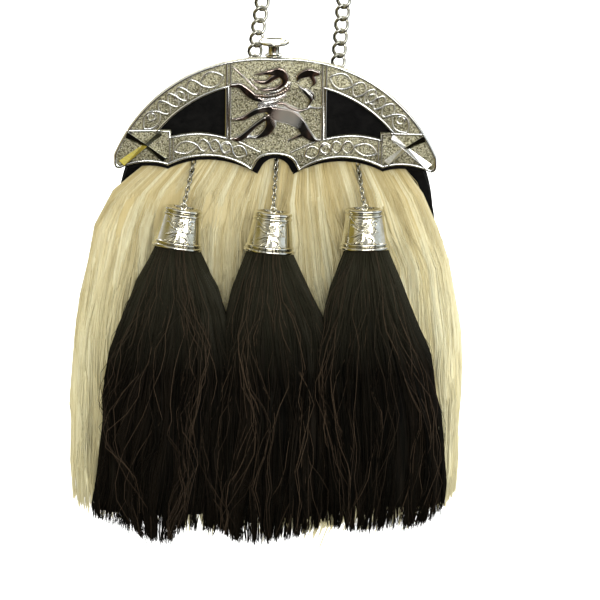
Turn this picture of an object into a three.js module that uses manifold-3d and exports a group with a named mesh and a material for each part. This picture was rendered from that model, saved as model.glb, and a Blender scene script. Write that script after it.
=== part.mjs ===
// Horsehair sporran: a leather pouch under a cast metal cantle, covered with long pale horsehair,
// with three black tassels on fine chains, hung by its waist chain.
// Millimetres, +Z up, front towards -Y. The origin is the point that the waist chain hangs over.
import * as THREE from 'three';
import { mergeVertices } from 'three/addons/utils/BufferGeometryUtils.js';
import Module from 'manifold-3d';

const wasm = await Module();
wasm.setup();

// ---- Driving dimensions ----
// Everything below the hang point is drawn in the pouch's own frame: x from its centre line,
// y to the back, and z up from the top of the cantle.
const gap = 0.3;
const hang = { height: 385, side: 48 };

// Layers from front to back, as [front y, back y].
const layers = {
  relief: [-6.4, -4.8],
  cantle: [-5.0, -3.0],
  backing: [-2.7, -0.7],
  front: [1.5, 3.5],
  gusset: [3.8, 25.9],
  back: [26.2, 28.2],
};

// The cantle's bands share the centre of its outer arc.
const cantle = {
  outerRadius: 89.5, innerRadius: 76.5, tipX: 80.2, tipBottom: -58.3, tipRound: 1.2,
  shieldHalf: 24.3, rim: 1.5, sillZ: -40.6, sillCrown: -38.4,
  blockInner: 52, blockTop: -37.3, backingDrop: 2.6, arcSteps: 28,
};
const arcCentreZ = -cantle.outerRadius;
// The arcs are squarer than a circle: they swell most between the top and this angle, in degrees.
const arcSwell = { size: 1.75, endAngle: 62 };

// Lower edge of the cantle, right half, from the centre line to the tip.
const lowerEdge = {
  notchTop: [0, -49.2], notchSide: [9.8, -54.2], foot: [11.5, -57.4],
  cusp: [53.5, -55.4], tip: [79, -58.3],
};

const knobAt = { x: -1.4, y: -1.8, z: gap };
const knobProfile = [
  { r: 0, z: 0 }, { r: 4.2, z: 0 }, { r: 4.2, z: 0.8 }, { r: 2.7, z: 1.3 }, { r: 2.7, z: 5.6 },
  { r: 5.6, z: 6.1 }, { r: 7.2, z: 6.7 }, { r: 7.7, z: 7.4 }, { r: 7.2, z: 8.1 }, { r: 6.3, z: 8.2 },
  { r: 5.5, z: 7.7 }, { r: 4.6, z: 7.1 }, { r: 0, z: 6.8 },
];

const pouch = {
  archRadius: 79.8, halfWidth: 81.2, shoulderZ: -96, bottomZ: -168, cornerRadius: 40,
  mouthZ: -56, wall: 1.9, edgeInset: 0.4,
};
// The gusset folds inwards along its middle: depth across the strip (0 front, 1 back), inward fold.
const gussetFold = [
  { depth: 0, fold: 0 }, { depth: 0.25, fold: 1.6 }, { depth: 0.5, fold: 3.2 },
  { depth: 0.75, fold: 1.6 }, { depth: 1, fold: 0 },
];

const waistChain = {
  y: 8.2, pitch: 6.3, width: 7.8, neck: 3.6, thick: 2.6, bendRadius: 9,
};
const hangers = [
  { side: 'left', x: -12, top: -7 },
  { side: 'right', x: 30, top: -12 },
];
const hanger = { plate: [9, 1.4, 11], ringRadius: 3.4, wire: 0.9 };

// One row for each tassel: where its chain leaves the leather, the centre of the cone's top,
// how far the cone leans sideways, in degrees, and the tassel's left and right edge by height.
const coneLean = 9;
const cone = {
  height: 20, topRadius: 8.9, bottomRadius: 12.2, wall: 1.1, bead: 0.7, beadHalf: 0.9,
  y: -16.6, segments: 20,
};
const tasselChain = { diameter: 2.5, startY: -2.3, sides: 8, abovePlate: new THREE.Vector3(0, 0.4, 0.9) };
const tassels = [
  {
    side: 'left', startX: -40.5, startZ: -55.2, topX: -45.3, topZ: -74.2, tilt: 9,
    edges: [
      { z: -97, left: -60.6, right: -36.4 }, { z: -110, left: -67, right: -31.5 },
      { z: -128, left: -74.6, right: -26.6 }, { z: -150, left: -81, right: -24.1 },
      { z: -190, left: -85.9, right: -23.9 }, { z: -226, left: -91.6, right: -23.9 },
      { z: -238, left: -86, right: -25 }, { z: -242.5, left: -66, right: -34 },
    ],
  },
  {
    side: 'middle', startX: 0.6, startZ: -53, topX: -0.8, topZ: -75.6, tilt: 5.4,
    edges: [
      { z: -98, left: -15, right: 9.8 }, { z: -112, left: -17.6, right: 15 },
      { z: -128, left: -20.6, right: 21.3 }, { z: -146, left: -23.4, right: 25.2 },
      { z: -190, left: -23.4, right: 25.6 }, { z: -228, left: -23.4, right: 25.6 },
      { z: -240, left: -22.6, right: 23.5 }, { z: -244, left: -15, right: 12 },
    ],
  },
  {
    side: 'right', startX: 41, startZ: -55.2, topX: 44.6, topZ: -73.4, tilt: -0.8,
    edges: [
      { z: -96, left: 32.6, right: 57.3 }, { z: -108, left: 30, right: 62.2 },
      { z: -124, left: 28.2, right: 68.4 }, { z: -148, left: 26.4, right: 79.4 },
      { z: -180, left: 26.2, right: 85 }, { z: -212, left: 26.2, right: 89.2 },
      { z: -228, left: 26.4, right: 83 }, { z: -237.5, left: 30, right: 66 },
    ],
  },
];

// Front of the pale hair and front of the tassels by height. The tassels lie on the pale hair.
const hairFront = [
  { z: -46, hair: -0.4, tassel: -20 }, { z: -61, hair: -0.5, tassel: -20 },
  { z: -67, hair: -2.6, tassel: -24 }, { z: -80, hair: -4.8, tassel: -29 },
  { z: -94, hair: -5.7, tassel: -30.5 }, { z: -110, hair: -8.4, tassel: -34 },
  { z: -128, hair: -11.8, tassel: -37.5 }, { z: -150, hair: -14.6, tassel: -40 },
  { z: -180, hair: -16.2, tassel: -41.5 }, { z: -250, hair: -16.2, tassel: -41.5 },
];

// The pale hair by height: left and right edge, and its back, which fills in below the pouch.
const paleHair = [
  { z: -47, left: -56, right: 56, back: 1.2 }, { z: -56, left: -63, right: 64, back: 1.2 },
  { z: -61, left: -70, right: 68.5, back: 1.2 }, { z: -67, left: -76.4, right: 71.5, back: 1.2 },
  { z: -74, left: -83, right: 74.4, back: 1.2 }, { z: -82, left: -88, right: 77.5, back: 1.2 },
  { z: -94, left: -92.8, right: 81.8, back: 1.2 }, { z: -110, left: -95.2, right: 86, back: 1.2 },
  { z: -136, left: -98.5, right: 91, back: 1.2 }, { z: -158, left: -100.8, right: 92.2, back: 1.2 },
  { z: -170, left: -102, right: 92.8, back: 1.2 }, { z: -188, left: -103, right: 92.8, back: 12 },
  { z: -205, left: -103.4, right: 92.2, back: 15 }, { z: -228, left: -102.6, right: 90, back: 15 },
  { z: -238, left: -98, right: 82, back: 14 }, { z: -244.5, left: -70, right: 60, back: 12 },
];

// The rampant lion on the shield, as strokes: x, z and width at each point.
const lionStrokes = [
  { part: 'bar', path: [[-21.2, -4.8, 1.4], [-9.4, -15.6, 1.6]] },
  {
    part: 'brow',
    path: [
      [-10.6, -8.2, 1.6], [-6, -7.4, 2.6], [-2, -6.9, 3.8], [1.8, -6.9, 5.2], [4.2, -9.6, 4.6],
      [3.6, -13, 3],
    ],
  },
  { part: 'jaw', path: [[-12.2, -10.6, 1], [-9, -11.8, 2.4], [-5, -11.9, 2.8], [-1.6, -9.6, 3]] },
  { part: 'throat', path: [[-9, -15.7, 1.6], [-5, -15.9, 2], [0, -15.2, 2.4], [3, -13.4, 2.6]] },
  {
    part: 'mane',
    path: [
      [-10, -18.6, 1.6], [-4, -19, 2.4], [1.5, -17.6, 2.6], [5.4, -14.9, 2.2], [6.8, -12.6, 1.2],
    ],
  },
  {
    part: 'upperPaw',
    path: [
      [-22, -13.9, 3], [-17.6, -14.2, 3.8], [-12.2, -18.8, 4.4], [-7, -21.2, 2.8], [0, -20.8, 1.6],
      [5, -18.8, 1.2],
    ],
  },
  {
    part: 'back',
    path: [
      [-9.2, -23.8, 1.6], [-2, -23.2, 2], [3.4, -22.8, 2.4], [7, -24.8, 2.4], [12, -26.2, 2.2],
      [17, -24.8, 1.8], [21.8, -24.8, 1.6],
    ],
  },
  { part: 'lowerPaw', path: [[-20.8, -31.4, 2], [-15.8, -30.4, 3.2], [-9.6, -26.8, 3.8], [-3, -25.4, 4]] },
  {
    part: 'belly',
    path: [
      [-4, -25.6, 3.4], [2, -27.8, 6.2], [8, -29.6, 6.6], [12.4, -33.4, 5.2], [15.2, -38, 4.8],
      [19, -41.2, 2.8], [21.6, -41.2, 1.6],
    ],
  },
  { part: 'rearPaw', path: [[14.8, -37.4, 3.4], [11, -39.4, 2.6], [6.2, -41.6, 1.6]] },
  {
    part: 'frontThigh',
    path: [
      [-4.4, -30.2, 3.8], [-2.6, -33.8, 5.2], [-5.2, -37.6, 4.2], [-9.2, -40, 2.4],
      [-14.4, -40.6, 1.6],
    ],
  },
  { part: 'shin', path: [[-5.6, -30.6, 3], [-11, -34.8, 3.2], [-17.2, -40.2, 4], [-21.4, -41.4, 2]] },
  { part: 'tail', path: [[15.6, -24.2, 1.6], [17.2, -20.4, 2.2], [14.6, -16.8, 2.4], [11.4, -13.8, 1.4]] },
  { part: 'tailCurl', path: [[14.4, -15.2, 1], [17.6, -17.6, 1.6], [18.4, -20.6, 1.2]] },
  { part: 'tuft', path: [[10.2, -11.4, 1.6], [11.8, -8.6, 4], [16, -7, 5], [20.2, -7.2, 3.4]] },
  { part: 'tuftTip', path: [[17.4, -8.6, 3.4], [18.8, -11.4, 3], [17.4, -14, 1.4]] },
];

// Interlace: two strands that cross back and forth along each band.
const knot = { line: 0.9, swing: 3.5, steps: 20 };
const knotBands = {
  upper: { radius: 83, fromAngle: 18.5, toAngle: 50, crossings: 5 },
  lower: { from: [16, -48.6], crown: [33, -44.2], to: [51, -47.6], swing: 2.6, crossings: 6 },
};

// ---- Finishes ----
const finishes = {
  cantleMetal: new THREE.MeshStandardMaterial({ color: 0xa9a894, roughness: 0.34, metalness: 1 }),
  chrome: new THREE.MeshStandardMaterial({ color: 0xd8d8d4, roughness: 0.14, metalness: 1 }),
  leather: new THREE.MeshStandardMaterial({ color: 0x14120f, roughness: 0.5, metalness: 0 }),
  paleHair: new THREE.MeshStandardMaterial({ color: 0xe6d7a0, roughness: 0.6, metalness: 0 }),
  blackHair: new THREE.MeshStandardMaterial({ color: 0x17120f, roughness: 0.55, metalness: 0 }),
};

// ---- Shape helpers ----
const radians = THREE.MathUtils.degToRad;

// Value of a named column at a height, read between the rows of a table ordered from top to bottom.
function atHeight(rows, column, z) {
  if (z >= rows[0].z) return rows[0][column];
  for (let i = 1; i < rows.length; i++) {
    if (z >= rows[i].z) {
      const share = (rows[i - 1].z - z) / (rows[i - 1].z - rows[i].z);
      return THREE.MathUtils.lerp(rows[i - 1][column], rows[i][column], share);
    }
  }
  return rows[rows.length - 1][column];
}

// A solid through rings of equal length, closed at both ends.
function loft(rings) {
  const count = rings[0].length;
  const positions = [];
  const triangles = [];
  for (const ring of rings) {
    for (const point of ring) positions.push(point.x, point.y, point.z);
  }
  for (let i = 0; i + 1 < rings.length; i++) {
    for (let j = 0; j < count; j++) {
      const a = i * count + j;
      const b = i * count + (j + 1) % count;
      triangles.push(a, b, b + count, a, b + count, a + count);
    }
  }
  const lastStart = (rings.length - 1) * count;
  for (const [start, turned] of [[0, true], [lastStart, false]]) {
    const ring = start === 0 ? rings[0] : rings[rings.length - 1];
    const middle = ring.reduce((sum, point) => sum.add(point), new THREE.Vector3());
    middle.divideScalar(count);
    const hub = positions.length / 3;
    positions.push(middle.x, middle.y, middle.z);
    for (let j = 0; j < count; j++) {
      const a = start + j;
      const b = start + (j + 1) % count;
      if (turned) triangles.push(b, a, hub);
      else triangles.push(a, b, hub);
    }
  }
  const geometry = new THREE.BufferGeometry();
  geometry.setAttribute('position', new THREE.Float32BufferAttribute(positions, 3));
  geometry.setIndex(triangles);
  return facedOut(geometry);
}

// Turns a closed geometry's faces round if they point inwards.
function facedOut(geometry) {
  const position = geometry.attributes.position;
  const index = geometry.index;
  const a = new THREE.Vector3();
  const b = new THREE.Vector3();
  const c = new THREE.Vector3();
  let volume = 0;
  for (let i = 0; i < index.count; i += 3) {
    a.fromBufferAttribute(position, index.getX(i));
    b.fromBufferAttribute(position, index.getX(i + 1));
    c.fromBufferAttribute(position, index.getX(i + 2));
    volume += a.dot(b.cross(c));
  }
  if (volume < 0) {
    for (let i = 0; i < index.count; i += 3) {
      const first = index.getX(i);
      index.setX(i, index.getX(i + 1));
      index.setX(i + 1, first);
    }
  }
  geometry.computeVertexNormals();
  return geometry;
}

// A flat piece: the shape is drawn in x and z, and reaches from the back y to the front y.
function plate(shape, [frontY, backY], curveSegments = 24) {
  const options = { depth: backY - frontY, bevelEnabled: false, curveSegments };
  const geometry = new THREE.ExtrudeGeometry(shape, options);
  geometry.rotateX(Math.PI / 2);
  geometry.translate(0, backY, 0);
  return geometry;
}

// A turned piece about the Z axis.
function turned(profile, segments) {
  const points = profile.map(({ r, z }) => new THREE.Vector2(r, z));
  const geometry = new THREE.LatheGeometry(points, segments);
  geometry.rotateX(Math.PI / 2);
  return facedOut(bare(geometry));
}

function bare(geometry) {
  const copy = geometry.clone();
  copy.deleteAttribute('normal');
  copy.deleteAttribute('uv');
  return mergeVertices(copy, 1e-4);
}

function toManifold(geometry) {
  const shell = bare(geometry);
  return new wasm.Manifold(new wasm.Mesh({
    numProp: 3,
    vertProperties: new Float32Array(shell.attributes.position.array),
    triVerts: new Uint32Array(shell.index.array),
  }));
}

function fromManifold(solid) {
  const mesh = solid.getMesh();
  const geometry = new THREE.BufferGeometry();
  geometry.setAttribute('position', new THREE.BufferAttribute(mesh.vertProperties, 3));
  geometry.setIndex(new THREE.BufferAttribute(mesh.triVerts, 1));
  geometry.computeVertexNormals();
  return geometry;
}

function joined(geometries) {
  const solids = geometries.map(toManifold);
  return fromManifold(solids.slice(1).reduce((whole, next) => whole.add(next), solids[0]));
}

// Outline of a tapered stroke drawn through points of x, z and width.
function strokeShape(path, steps) {
  const points = path.map(([x, z]) => new THREE.Vector3(x, z, 0));
  const curve = new THREE.CatmullRomCurve3(points, false, 'centripetal');
  const left = [];
  const right = [];
  for (let i = 0; i <= steps; i++) {
    const share = i / steps;
    const place = share * (path.length - 1);
    const row = Math.min(Math.floor(place), path.length - 2);
    const half = THREE.MathUtils.lerp(path[row][2], path[row + 1][2], place - row) / 2;
    const centre = curve.getPoint(share);
    const along = curve.getTangent(share);
    left.push(new THREE.Vector2(centre.x - along.y * half, centre.y + along.x * half));
    right.push(new THREE.Vector2(centre.x + along.y * half, centre.y - along.x * half));
  }
  return new THREE.Shape([...left, ...right.reverse()]);
}

// ---- Cantle ----
function swollen(radius, angle) {
  return radius + arcSwell.size * Math.sin((Math.PI * Math.abs(angle)) / radians(arcSwell.endAngle));
}

function arcPoint(radius, angle) {
  const reach = swollen(radius, angle);
  return new THREE.Vector2(reach * Math.sin(angle), arcCentreZ + reach * Math.cos(angle));
}

// Angle of the arc's point at this x, or at this z, by repeated correction.
function arcAngle(radius, { x, z }) {
  let angle = 0.5;
  for (let i = 0; i < 12; i++) {
    const reach = swollen(radius, angle);
    angle = z === undefined ? Math.asin(x / reach) : Math.acos((z - arcCentreZ) / reach);
  }
  return angle;
}

// Lower edge of the cantle from the right tip to the left one, lowered by drop.
function drawLowerEdge(shape, drop) {
  const { notchTop, notchSide, foot, cusp, tip } = lowerEdge;
  const z = (value) => value - drop;
  const side = notchSide[0] - drop;
  const footX = foot[0] - drop;
  shape.lineTo(tip[0], z(tip[1]));
  shape.bezierCurveTo(70, z(-53), 60, z(-53), cusp[0], z(cusp[1]));
  shape.bezierCurveTo(38, z(-47.4), 22, z(-49.6), footX, z(foot[1]));
  shape.lineTo(side, z(notchSide[1]));
  shape.bezierCurveTo(side - 1.3, z(-50.8), side - 5, z(notchTop[1]), 0, z(notchTop[1]));
  shape.bezierCurveTo(5 - side, z(notchTop[1]), 1.3 - side, z(-50.8), -side, z(notchSide[1]));
  shape.lineTo(-footX, z(foot[1]));
  shape.bezierCurveTo(-22, z(-49.6), -38, z(-47.4), -cusp[0], z(cusp[1]));
  shape.bezierCurveTo(-60, z(-53), -70, z(-53), -tip[0], z(tip[1]));
}

function cantleShape(radius, tipX, drop) {
  const endAngle = arcAngle(radius, { x: tipX });
  const shape = new THREE.Shape();
  for (let i = 0; i <= cantle.arcSteps; i++) {
    const { x, y } = arcPoint(radius, THREE.MathUtils.lerp(-endAngle, endAngle, i / cantle.arcSteps));
    if (i === 0) shape.moveTo(x, y);
    else shape.lineTo(x, y);
  }
  shape.lineTo(tipX, cantle.tipBottom + cantle.tipRound - drop);
  drawLowerEdge(shape, drop);
  shape.lineTo(-tipX, cantle.tipBottom + cantle.tipRound - drop);
  shape.closePath();
  return shape;
}

// One window, right or left (side 1 or -1), grown outwards by margin.
function windowPath(side, margin) {
  const radius = cantle.innerRadius + margin;
  const inner = cantle.shieldHalf - margin;
  const sill = cantle.sillZ - margin;
  const block = cantle.blockInner + margin;
  const shoulder = arcAngle(radius, { z: cantle.blockTop - margin });
  const top = arcAngle(radius, { x: inner });
  const points = [new THREE.Vector2(inner, sill)];
  const steps = 6;
  for (let i = 1; i < steps; i++) {
    const share = i / steps;
    const crown = (cantle.sillCrown - cantle.sillZ) * Math.sin(Math.PI * share);
    points.push(new THREE.Vector2(THREE.MathUtils.lerp(inner, block, share), sill + crown));
  }
  points.push(new THREE.Vector2(block, sill));
  points.push(new THREE.Vector2(block, cantle.blockTop - margin));
  for (let i = 0; i <= 2 * steps; i++) {
    points.push(arcPoint(radius, THREE.MathUtils.lerp(shoulder, top, i / (2 * steps))));
  }
  const placed = points.map((point) => new THREE.Vector2(side * point.x, point.y));
  return side > 0 ? placed : placed.reverse();
}

// A raised frame between an outer shape and an inner one.
function frame(outer, inner) {
  const [frontY, backY] = layers.relief;
  const cutter = toManifold(plate(inner, [frontY - 1, backY + 1], 12));
  return fromManifold(toManifold(plate(outer, layers.relief, 12)).subtract(cutter));
}

function edgeRims() {
  const { outerRadius, tipX, rim } = cantle;
  const rims = [frame(cantleShape(outerRadius, tipX, 0), cantleShape(outerRadius - rim, tipX - rim, -rim))];
  for (const side of [-1, 1]) {
    rims.push(frame(new THREE.Shape(windowPath(side, rim)), new THREE.Shape(windowPath(side, 0))));
  }
  return rims;
}

// The saltire: two crossed bars on each end block, each wider towards its ends.
function saltires() {
  const bars = [];
  const arms = [
    [[57.8, -39.2, 2.8], [64.6, -45.2, 1.4], [77.4, -55.6, 4.8]],
    [[55, -52.8, 3.4], [64.6, -45.2, 1.4], [74.2, -39.6, 3.6]],
  ];
  for (const side of [-1, 1]) {
    for (const arm of arms) {
      const path = arm.map(([x, z, width]) => [side * x, z, width]);
      bars.push(plate(strokeShape(path, 2), layers.relief));
    }
  }
  return bars;
}

function bandPoint(band, share, side) {
  if (band.radius) {
    const angle = radians(THREE.MathUtils.lerp(band.fromAngle, band.toAngle, share));
    const out = new THREE.Vector2(Math.sin(angle), Math.cos(angle));
    const at = arcPoint(band.radius, angle);
    return { x: side * at.x, z: at.y, nx: side * out.x, nz: out.y };
  }
  const arc = new THREE.QuadraticBezierCurve(
    new THREE.Vector2(...band.from), new THREE.Vector2(...band.crown), new THREE.Vector2(...band.to),
  );
  const at = arc.getPoint(share);
  return { x: side * at.x, z: at.y, nx: 0, nz: 1 };
}

function interlace() {
  const strands = [];
  for (const band of Object.values(knotBands)) {
    const swing = band.swing ?? knot.swing;
    for (const side of [-1, 1]) {
      for (const phase of [-1, 1]) {
        const path = [];
        for (let i = 0; i <= knot.steps; i++) {
          const share = i / knot.steps;
          const { x, z, nx, nz } = bandPoint(band, share, side);
          const offset = phase * swing * Math.sin(Math.PI * band.crossings * share);
          path.push([x + nx * offset, z + nz * offset, knot.line]);
        }
        strands.push(plate(strokeShape(path, knot.steps), layers.relief));
      }
    }
  }
  return strands;
}

function makeCantle() {
  const ground = cantleShape(cantle.outerRadius, cantle.tipX, 0);
  for (const side of [-1, 1]) {
    ground.holes.push(new THREE.Path(windowPath(side, 0)));
  }
  const lion = lionStrokes.map(({ path }) => plate(strokeShape(path, 6), layers.relief));
  const relief = [...edgeRims(), ...saltires(), ...interlace(), ...lion];
  return joined([plate(ground, layers.cantle, 12), ...relief]);
}

function makeBacking() {
  const shape = cantleShape(cantle.outerRadius - 0.8, cantle.tipX - 0.8, cantle.backingDrop);
  return plate(shape, layers.backing, 10);
}

// ---- Pouch ----
// Outline of the bag as points, clockwise from the left end of its arch, drawn in by inset.
function pouchOutline(inset) {
  const { archRadius, halfWidth, shoulderZ, bottomZ, cornerRadius } = pouch;
  const shape = new THREE.Shape();
  const side = halfWidth - inset;
  const radius = archRadius - inset;
  const corner = cornerRadius - inset;
  const archEndX = radius * Math.cos(radians(4));
  const archEndZ = arcCentreZ + radius * Math.sin(radians(4));
  shape.moveTo(-side, shoulderZ - 6);
  shape.quadraticCurveTo(-side, shoulderZ + 6, -archEndX, archEndZ);
  shape.absarc(0, arcCentreZ, radius, radians(176), radians(4), true);
  shape.quadraticCurveTo(side, shoulderZ + 6, side, shoulderZ - 6);
  shape.absarc(side - corner, bottomZ + inset + corner, corner, 0, -Math.PI / 2, true);
  shape.absarc(corner - side, bottomZ + inset + corner, corner, -Math.PI / 2, -Math.PI, true);
  shape.closePath();
  return shape;
}

// The gusset: a folded strip round the sides and bottom, open along the mouth.
function makeGusset() {
  const outline = pouchOutline(pouch.edgeInset).getPoints(8);
  const loop = outline.filter((point, i) => i === 0 || point.distanceTo(outline[i - 1]) > 0.5);
  const below = loop.filter((point) => point.y < pouch.mouthZ);
  const right = below.filter((point) => point.x > 0).sort((a, b) => b.y - a.y || b.x - a.x);
  const left = below.filter((point) => point.x <= 0).sort((a, b) => a.y - b.y || b.x - a.x);
  const path = [...right, ...left];
  const [frontY, backY] = layers.gusset;
  const rings = path.map((point, i) => {
    const before = path[Math.max(i - 1, 0)];
    const after = path[Math.min(i + 1, path.length - 1)];
    const along = new THREE.Vector2().subVectors(after, before).normalize();
    const inward = new THREE.Vector2(along.y, -along.x);
    if (inward.dot(new THREE.Vector2(-point.x, arcCentreZ - point.y)) < 0) inward.negate();
    const at = (row, wall) => new THREE.Vector3(
      point.x + inward.x * (row.fold + wall),
      THREE.MathUtils.lerp(frontY, backY, row.depth),
      point.y + inward.y * (row.fold + wall),
    );
    const outside = gussetFold.map((row) => at(row, 0));
    const inside = gussetFold.map((row) => at(row, pouch.wall)).reverse();
    return [...outside, ...inside];
  });
  return loft(rings);
}

// ---- Knob, hangers and chains ----
function makeKnob() {
  const geometry = turned(knobProfile, 20);
  geometry.translate(knobAt.x, knobAt.y, knobAt.z);
  return geometry;
}

function makeHanger({ x, top }) {
  const [width, depth, height] = hanger.plate;
  const reach = hanger.ringRadius + hanger.wire;
  const tab = new THREE.BoxGeometry(width, depth, height);
  tab.translate(x, layers.front[1] + gap + depth / 2, top - reach * 2 + 2 - height / 2);
  const ring = new THREE.TorusGeometry(hanger.ringRadius, hanger.wire, 6, 14);
  ring.rotateY(Math.PI / 2);
  ring.translate(x, waistChain.y, top - reach);
  return joined([tab, ring]);
}

// The chain's centre line from the left hanger, over the hang point, to the right hanger.
function chainRoute() {
  const radius = waistChain.bendRadius;
  const top = hang.height + waistChain.thick / 2;
  const centre = new THREE.Vector3(hang.side, waistChain.y, top - radius);
  const [left, right] = hangers.map(({ x, top: z }) => new THREE.Vector3(x, waistChain.y, z + gap));
  const bend = [];
  const bendSteps = 8;
  for (let i = 0; i <= bendSteps; i++) {
    const angle = Math.PI * (1 - i / bendSteps);
    bend.push(new THREE.Vector3(
      centre.x + radius * Math.cos(angle), centre.y, centre.z + radius * Math.sin(angle),
    ));
  }
  return { left: [left, bend[0]], bend, right: [bend[bendSteps], right] };
}

// Links joined along their thread: wide at each link's middle and narrow where two links meet.
// turnFrom and turnTo, in degrees, turn the flat of the links about the thread.
function chainSolid(points, turnFrom, turnTo, trim) {
  const curve = new THREE.CurvePath();
  for (let i = 0; i + 1 < points.length; i++) {
    curve.add(new THREE.LineCurve3(points[i], points[i + 1]));
  }
  const length = curve.getLength();
  const first = trim[0];
  const run = length - trim[0] - trim[1];
  const links = Math.round(run / waistChain.pitch);
  const across = new THREE.Vector3(0, 1, 0);
  const rings = [];
  for (let i = 0; i <= 2 * links; i++) {
    const share = i / (2 * links);
    const place = (first + run * share) / length;
    const centre = curve.getPointAt(place);
    const along = curve.getTangentAt(place);
    const side = new THREE.Vector3().crossVectors(along, across).normalize();
    const turn = radians(THREE.MathUtils.lerp(turnFrom, turnTo, share));
    const wide = i % 2 === 1 ? waistChain.width / 2 : waistChain.neck / 2;
    const thick = i % 2 === 1 ? waistChain.thick / 2 : waistChain.neck / 2;
    const ring = [];
    for (let k = 0; k < 6; k++) {
      const angle = (Math.PI * k) / 3;
      const u = wide * Math.cos(angle);
      const v = thick * Math.sin(angle);
      const point = centre.clone();
      point.addScaledVector(side, u * Math.cos(turn) - v * Math.sin(turn));
      point.addScaledVector(across, u * Math.sin(turn) + v * Math.cos(turn));
      ring.push(point);
    }
    rings.push(ring);
  }
  return loft(rings);
}

function tube(from, to, diameter, sides) {
  const section = new THREE.Shape();
  for (let i = 0; i < sides; i++) {
    const angle = (2 * Math.PI * i) / sides;
    const x = (diameter / 2) * Math.cos(angle);
    const y = (diameter / 2) * Math.sin(angle);
    if (i === 0) section.moveTo(x, y);
    else section.lineTo(x, y);
  }
  section.closePath();
  const extrudePath = new THREE.LineCurve3(from, to);
  return new THREE.ExtrudeGeometry(section, { steps: 2, extrudePath, bevelEnabled: false });
}

// ---- Tassels ----
// Turns a piece drawn about its own axis, hanging down from its top, to a tassel's lean and tilt.
function tasselTurn({ tilt }) {
  return new THREE.Euler(radians(-coneLean), radians(tilt), 0, 'YXZ');
}

function coneTop({ topX, topZ }) {
  return new THREE.Vector3(topX, cone.y, topZ);
}

function makeCone(tassel) {
  const { height, topRadius, bottomRadius, wall, bead, beadHalf } = cone;
  const slope = (z) => THREE.MathUtils.lerp(topRadius, bottomRadius, -z / height);
  const beadRow = (z) => [
    { r: slope(z), z: z + beadHalf }, { r: slope(z) + bead, z }, { r: slope(z), z: z - beadHalf },
  ];
  const profile = [
    { r: 0, z: 0 }, { r: topRadius - 0.6, z: 0 }, ...beadRow(-1.2), ...beadRow(-3.4),
    ...beadRow(2.9 - height), ...beadRow(0.9 - height),
    { r: bottomRadius - wall, z: -height }, { r: topRadius - wall, z: -wall * 2 },
    { r: 0, z: -wall * 2 },
  ];
  const geometry = turned(profile, cone.segments);
  geometry.applyMatrix4(new THREE.Matrix4().makeRotationFromEuler(tasselTurn(tassel)));
  geometry.translate(...coneTop(tassel).toArray());
  return geometry;
}

// The hair of a tassel: a plug inside the cone, then its outer form down to the trimmed end.
function makeTasselHair(tassel) {
  const sides = 20;
  const rings = [];
  const turn = new THREE.Matrix4().makeRotationFromEuler(tasselTurn(tassel));
  const inside = [
    { z: -4, r: cone.topRadius - 1.3 }, { z: -cone.height - 0.2, r: cone.bottomRadius - cone.wall - 0.5 },
  ];
  for (const { z, r } of inside) {
    const ring = [];
    for (let k = 0; k < sides; k++) {
      const angle = (2 * Math.PI * k) / sides;
      const point = new THREE.Vector3(r * Math.cos(angle), r * Math.sin(angle), z);
      ring.push(point.applyMatrix4(turn).add(coneTop(tassel)));
    }
    rings.push(ring);
  }
  for (const { z, left, right } of tassel.edges) {
    const backY = atHeight(hairFront, 'hair', z) - 0.5;
    const frontY = atHeight(hairFront, 'tassel', z);
    const ring = [];
    for (let k = 0; k < sides; k++) {
      const angle = (2 * Math.PI * k) / sides;
      ring.push(roundedPoint(angle, { left, right, frontY, backY, z }, 2.5));
    }
    rings.push(ring);
  }
  return loft(rings);
}

// Point on a level, rounded section between four edges; power 2 is an ellipse.
function roundedPoint(angle, { left, right, frontY, backY, z }, power) {
  const c = Math.cos(angle);
  const s = Math.sin(angle);
  const x = Math.sign(c) * Math.abs(c) ** (2 / power);
  const y = Math.sign(s) * Math.abs(s) ** (2 / power);
  return new THREE.Vector3(
    (left + right) / 2 + (x * (right - left)) / 2,
    (frontY + backY) / 2 + (y * (backY - frontY)) / 2,
    z,
  );
}

function makePaleHair() {
  const sides = 36;
  const rings = paleHair.map(({ z, left, right, back }) => {
    const frontY = atHeight(hairFront, 'hair', z);
    const ring = [];
    for (let k = 0; k < sides; k++) {
      const angle = (2 * Math.PI * k) / sides;
      ring.push(roundedPoint(angle, { left, right, frontY, backY: back, z }, 2.6));
    }
    return ring;
  });
  return loft(rings);
}

// ---- Assembly ----
const assembly = new THREE.Group();
const sporran = new THREE.Group();
sporran.position.set(-hang.side, -waistChain.y, -hang.height);
assembly.add(sporran);

function addPiece(name, geometry, finish) {
  const mesh = new THREE.Mesh(geometry, finish);
  mesh.name = name;
  sporran.add(mesh);
}

addPiece('cantle', makeCantle(), finishes.cantleMetal);
addPiece('cantle_backing', makeBacking(), finishes.leather);
addPiece('knob', makeKnob(), finishes.chrome);
addPiece('pouch_front', plate(pouchOutline(0), layers.front, 10), finishes.leather);
addPiece('pouch_gusset', makeGusset(), finishes.leather);
addPiece('pouch_back', plate(pouchOutline(0), layers.back, 10), finishes.leather);
for (const row of hangers) {
  addPiece(`chain_hanger_${row.side}`, makeHanger(row), finishes.chrome);
}

const route = chainRoute();
addPiece('waist_chain_left', chainSolid(route.left, 0, 90, [0, gap]), finishes.chrome);
addPiece('waist_chain_top', chainSolid(route.bend, 90, 90, [gap, gap]), finishes.chrome);
addPiece('waist_chain_right', chainSolid(route.right, 90, 0, [gap, 0]), finishes.chrome);

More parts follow.
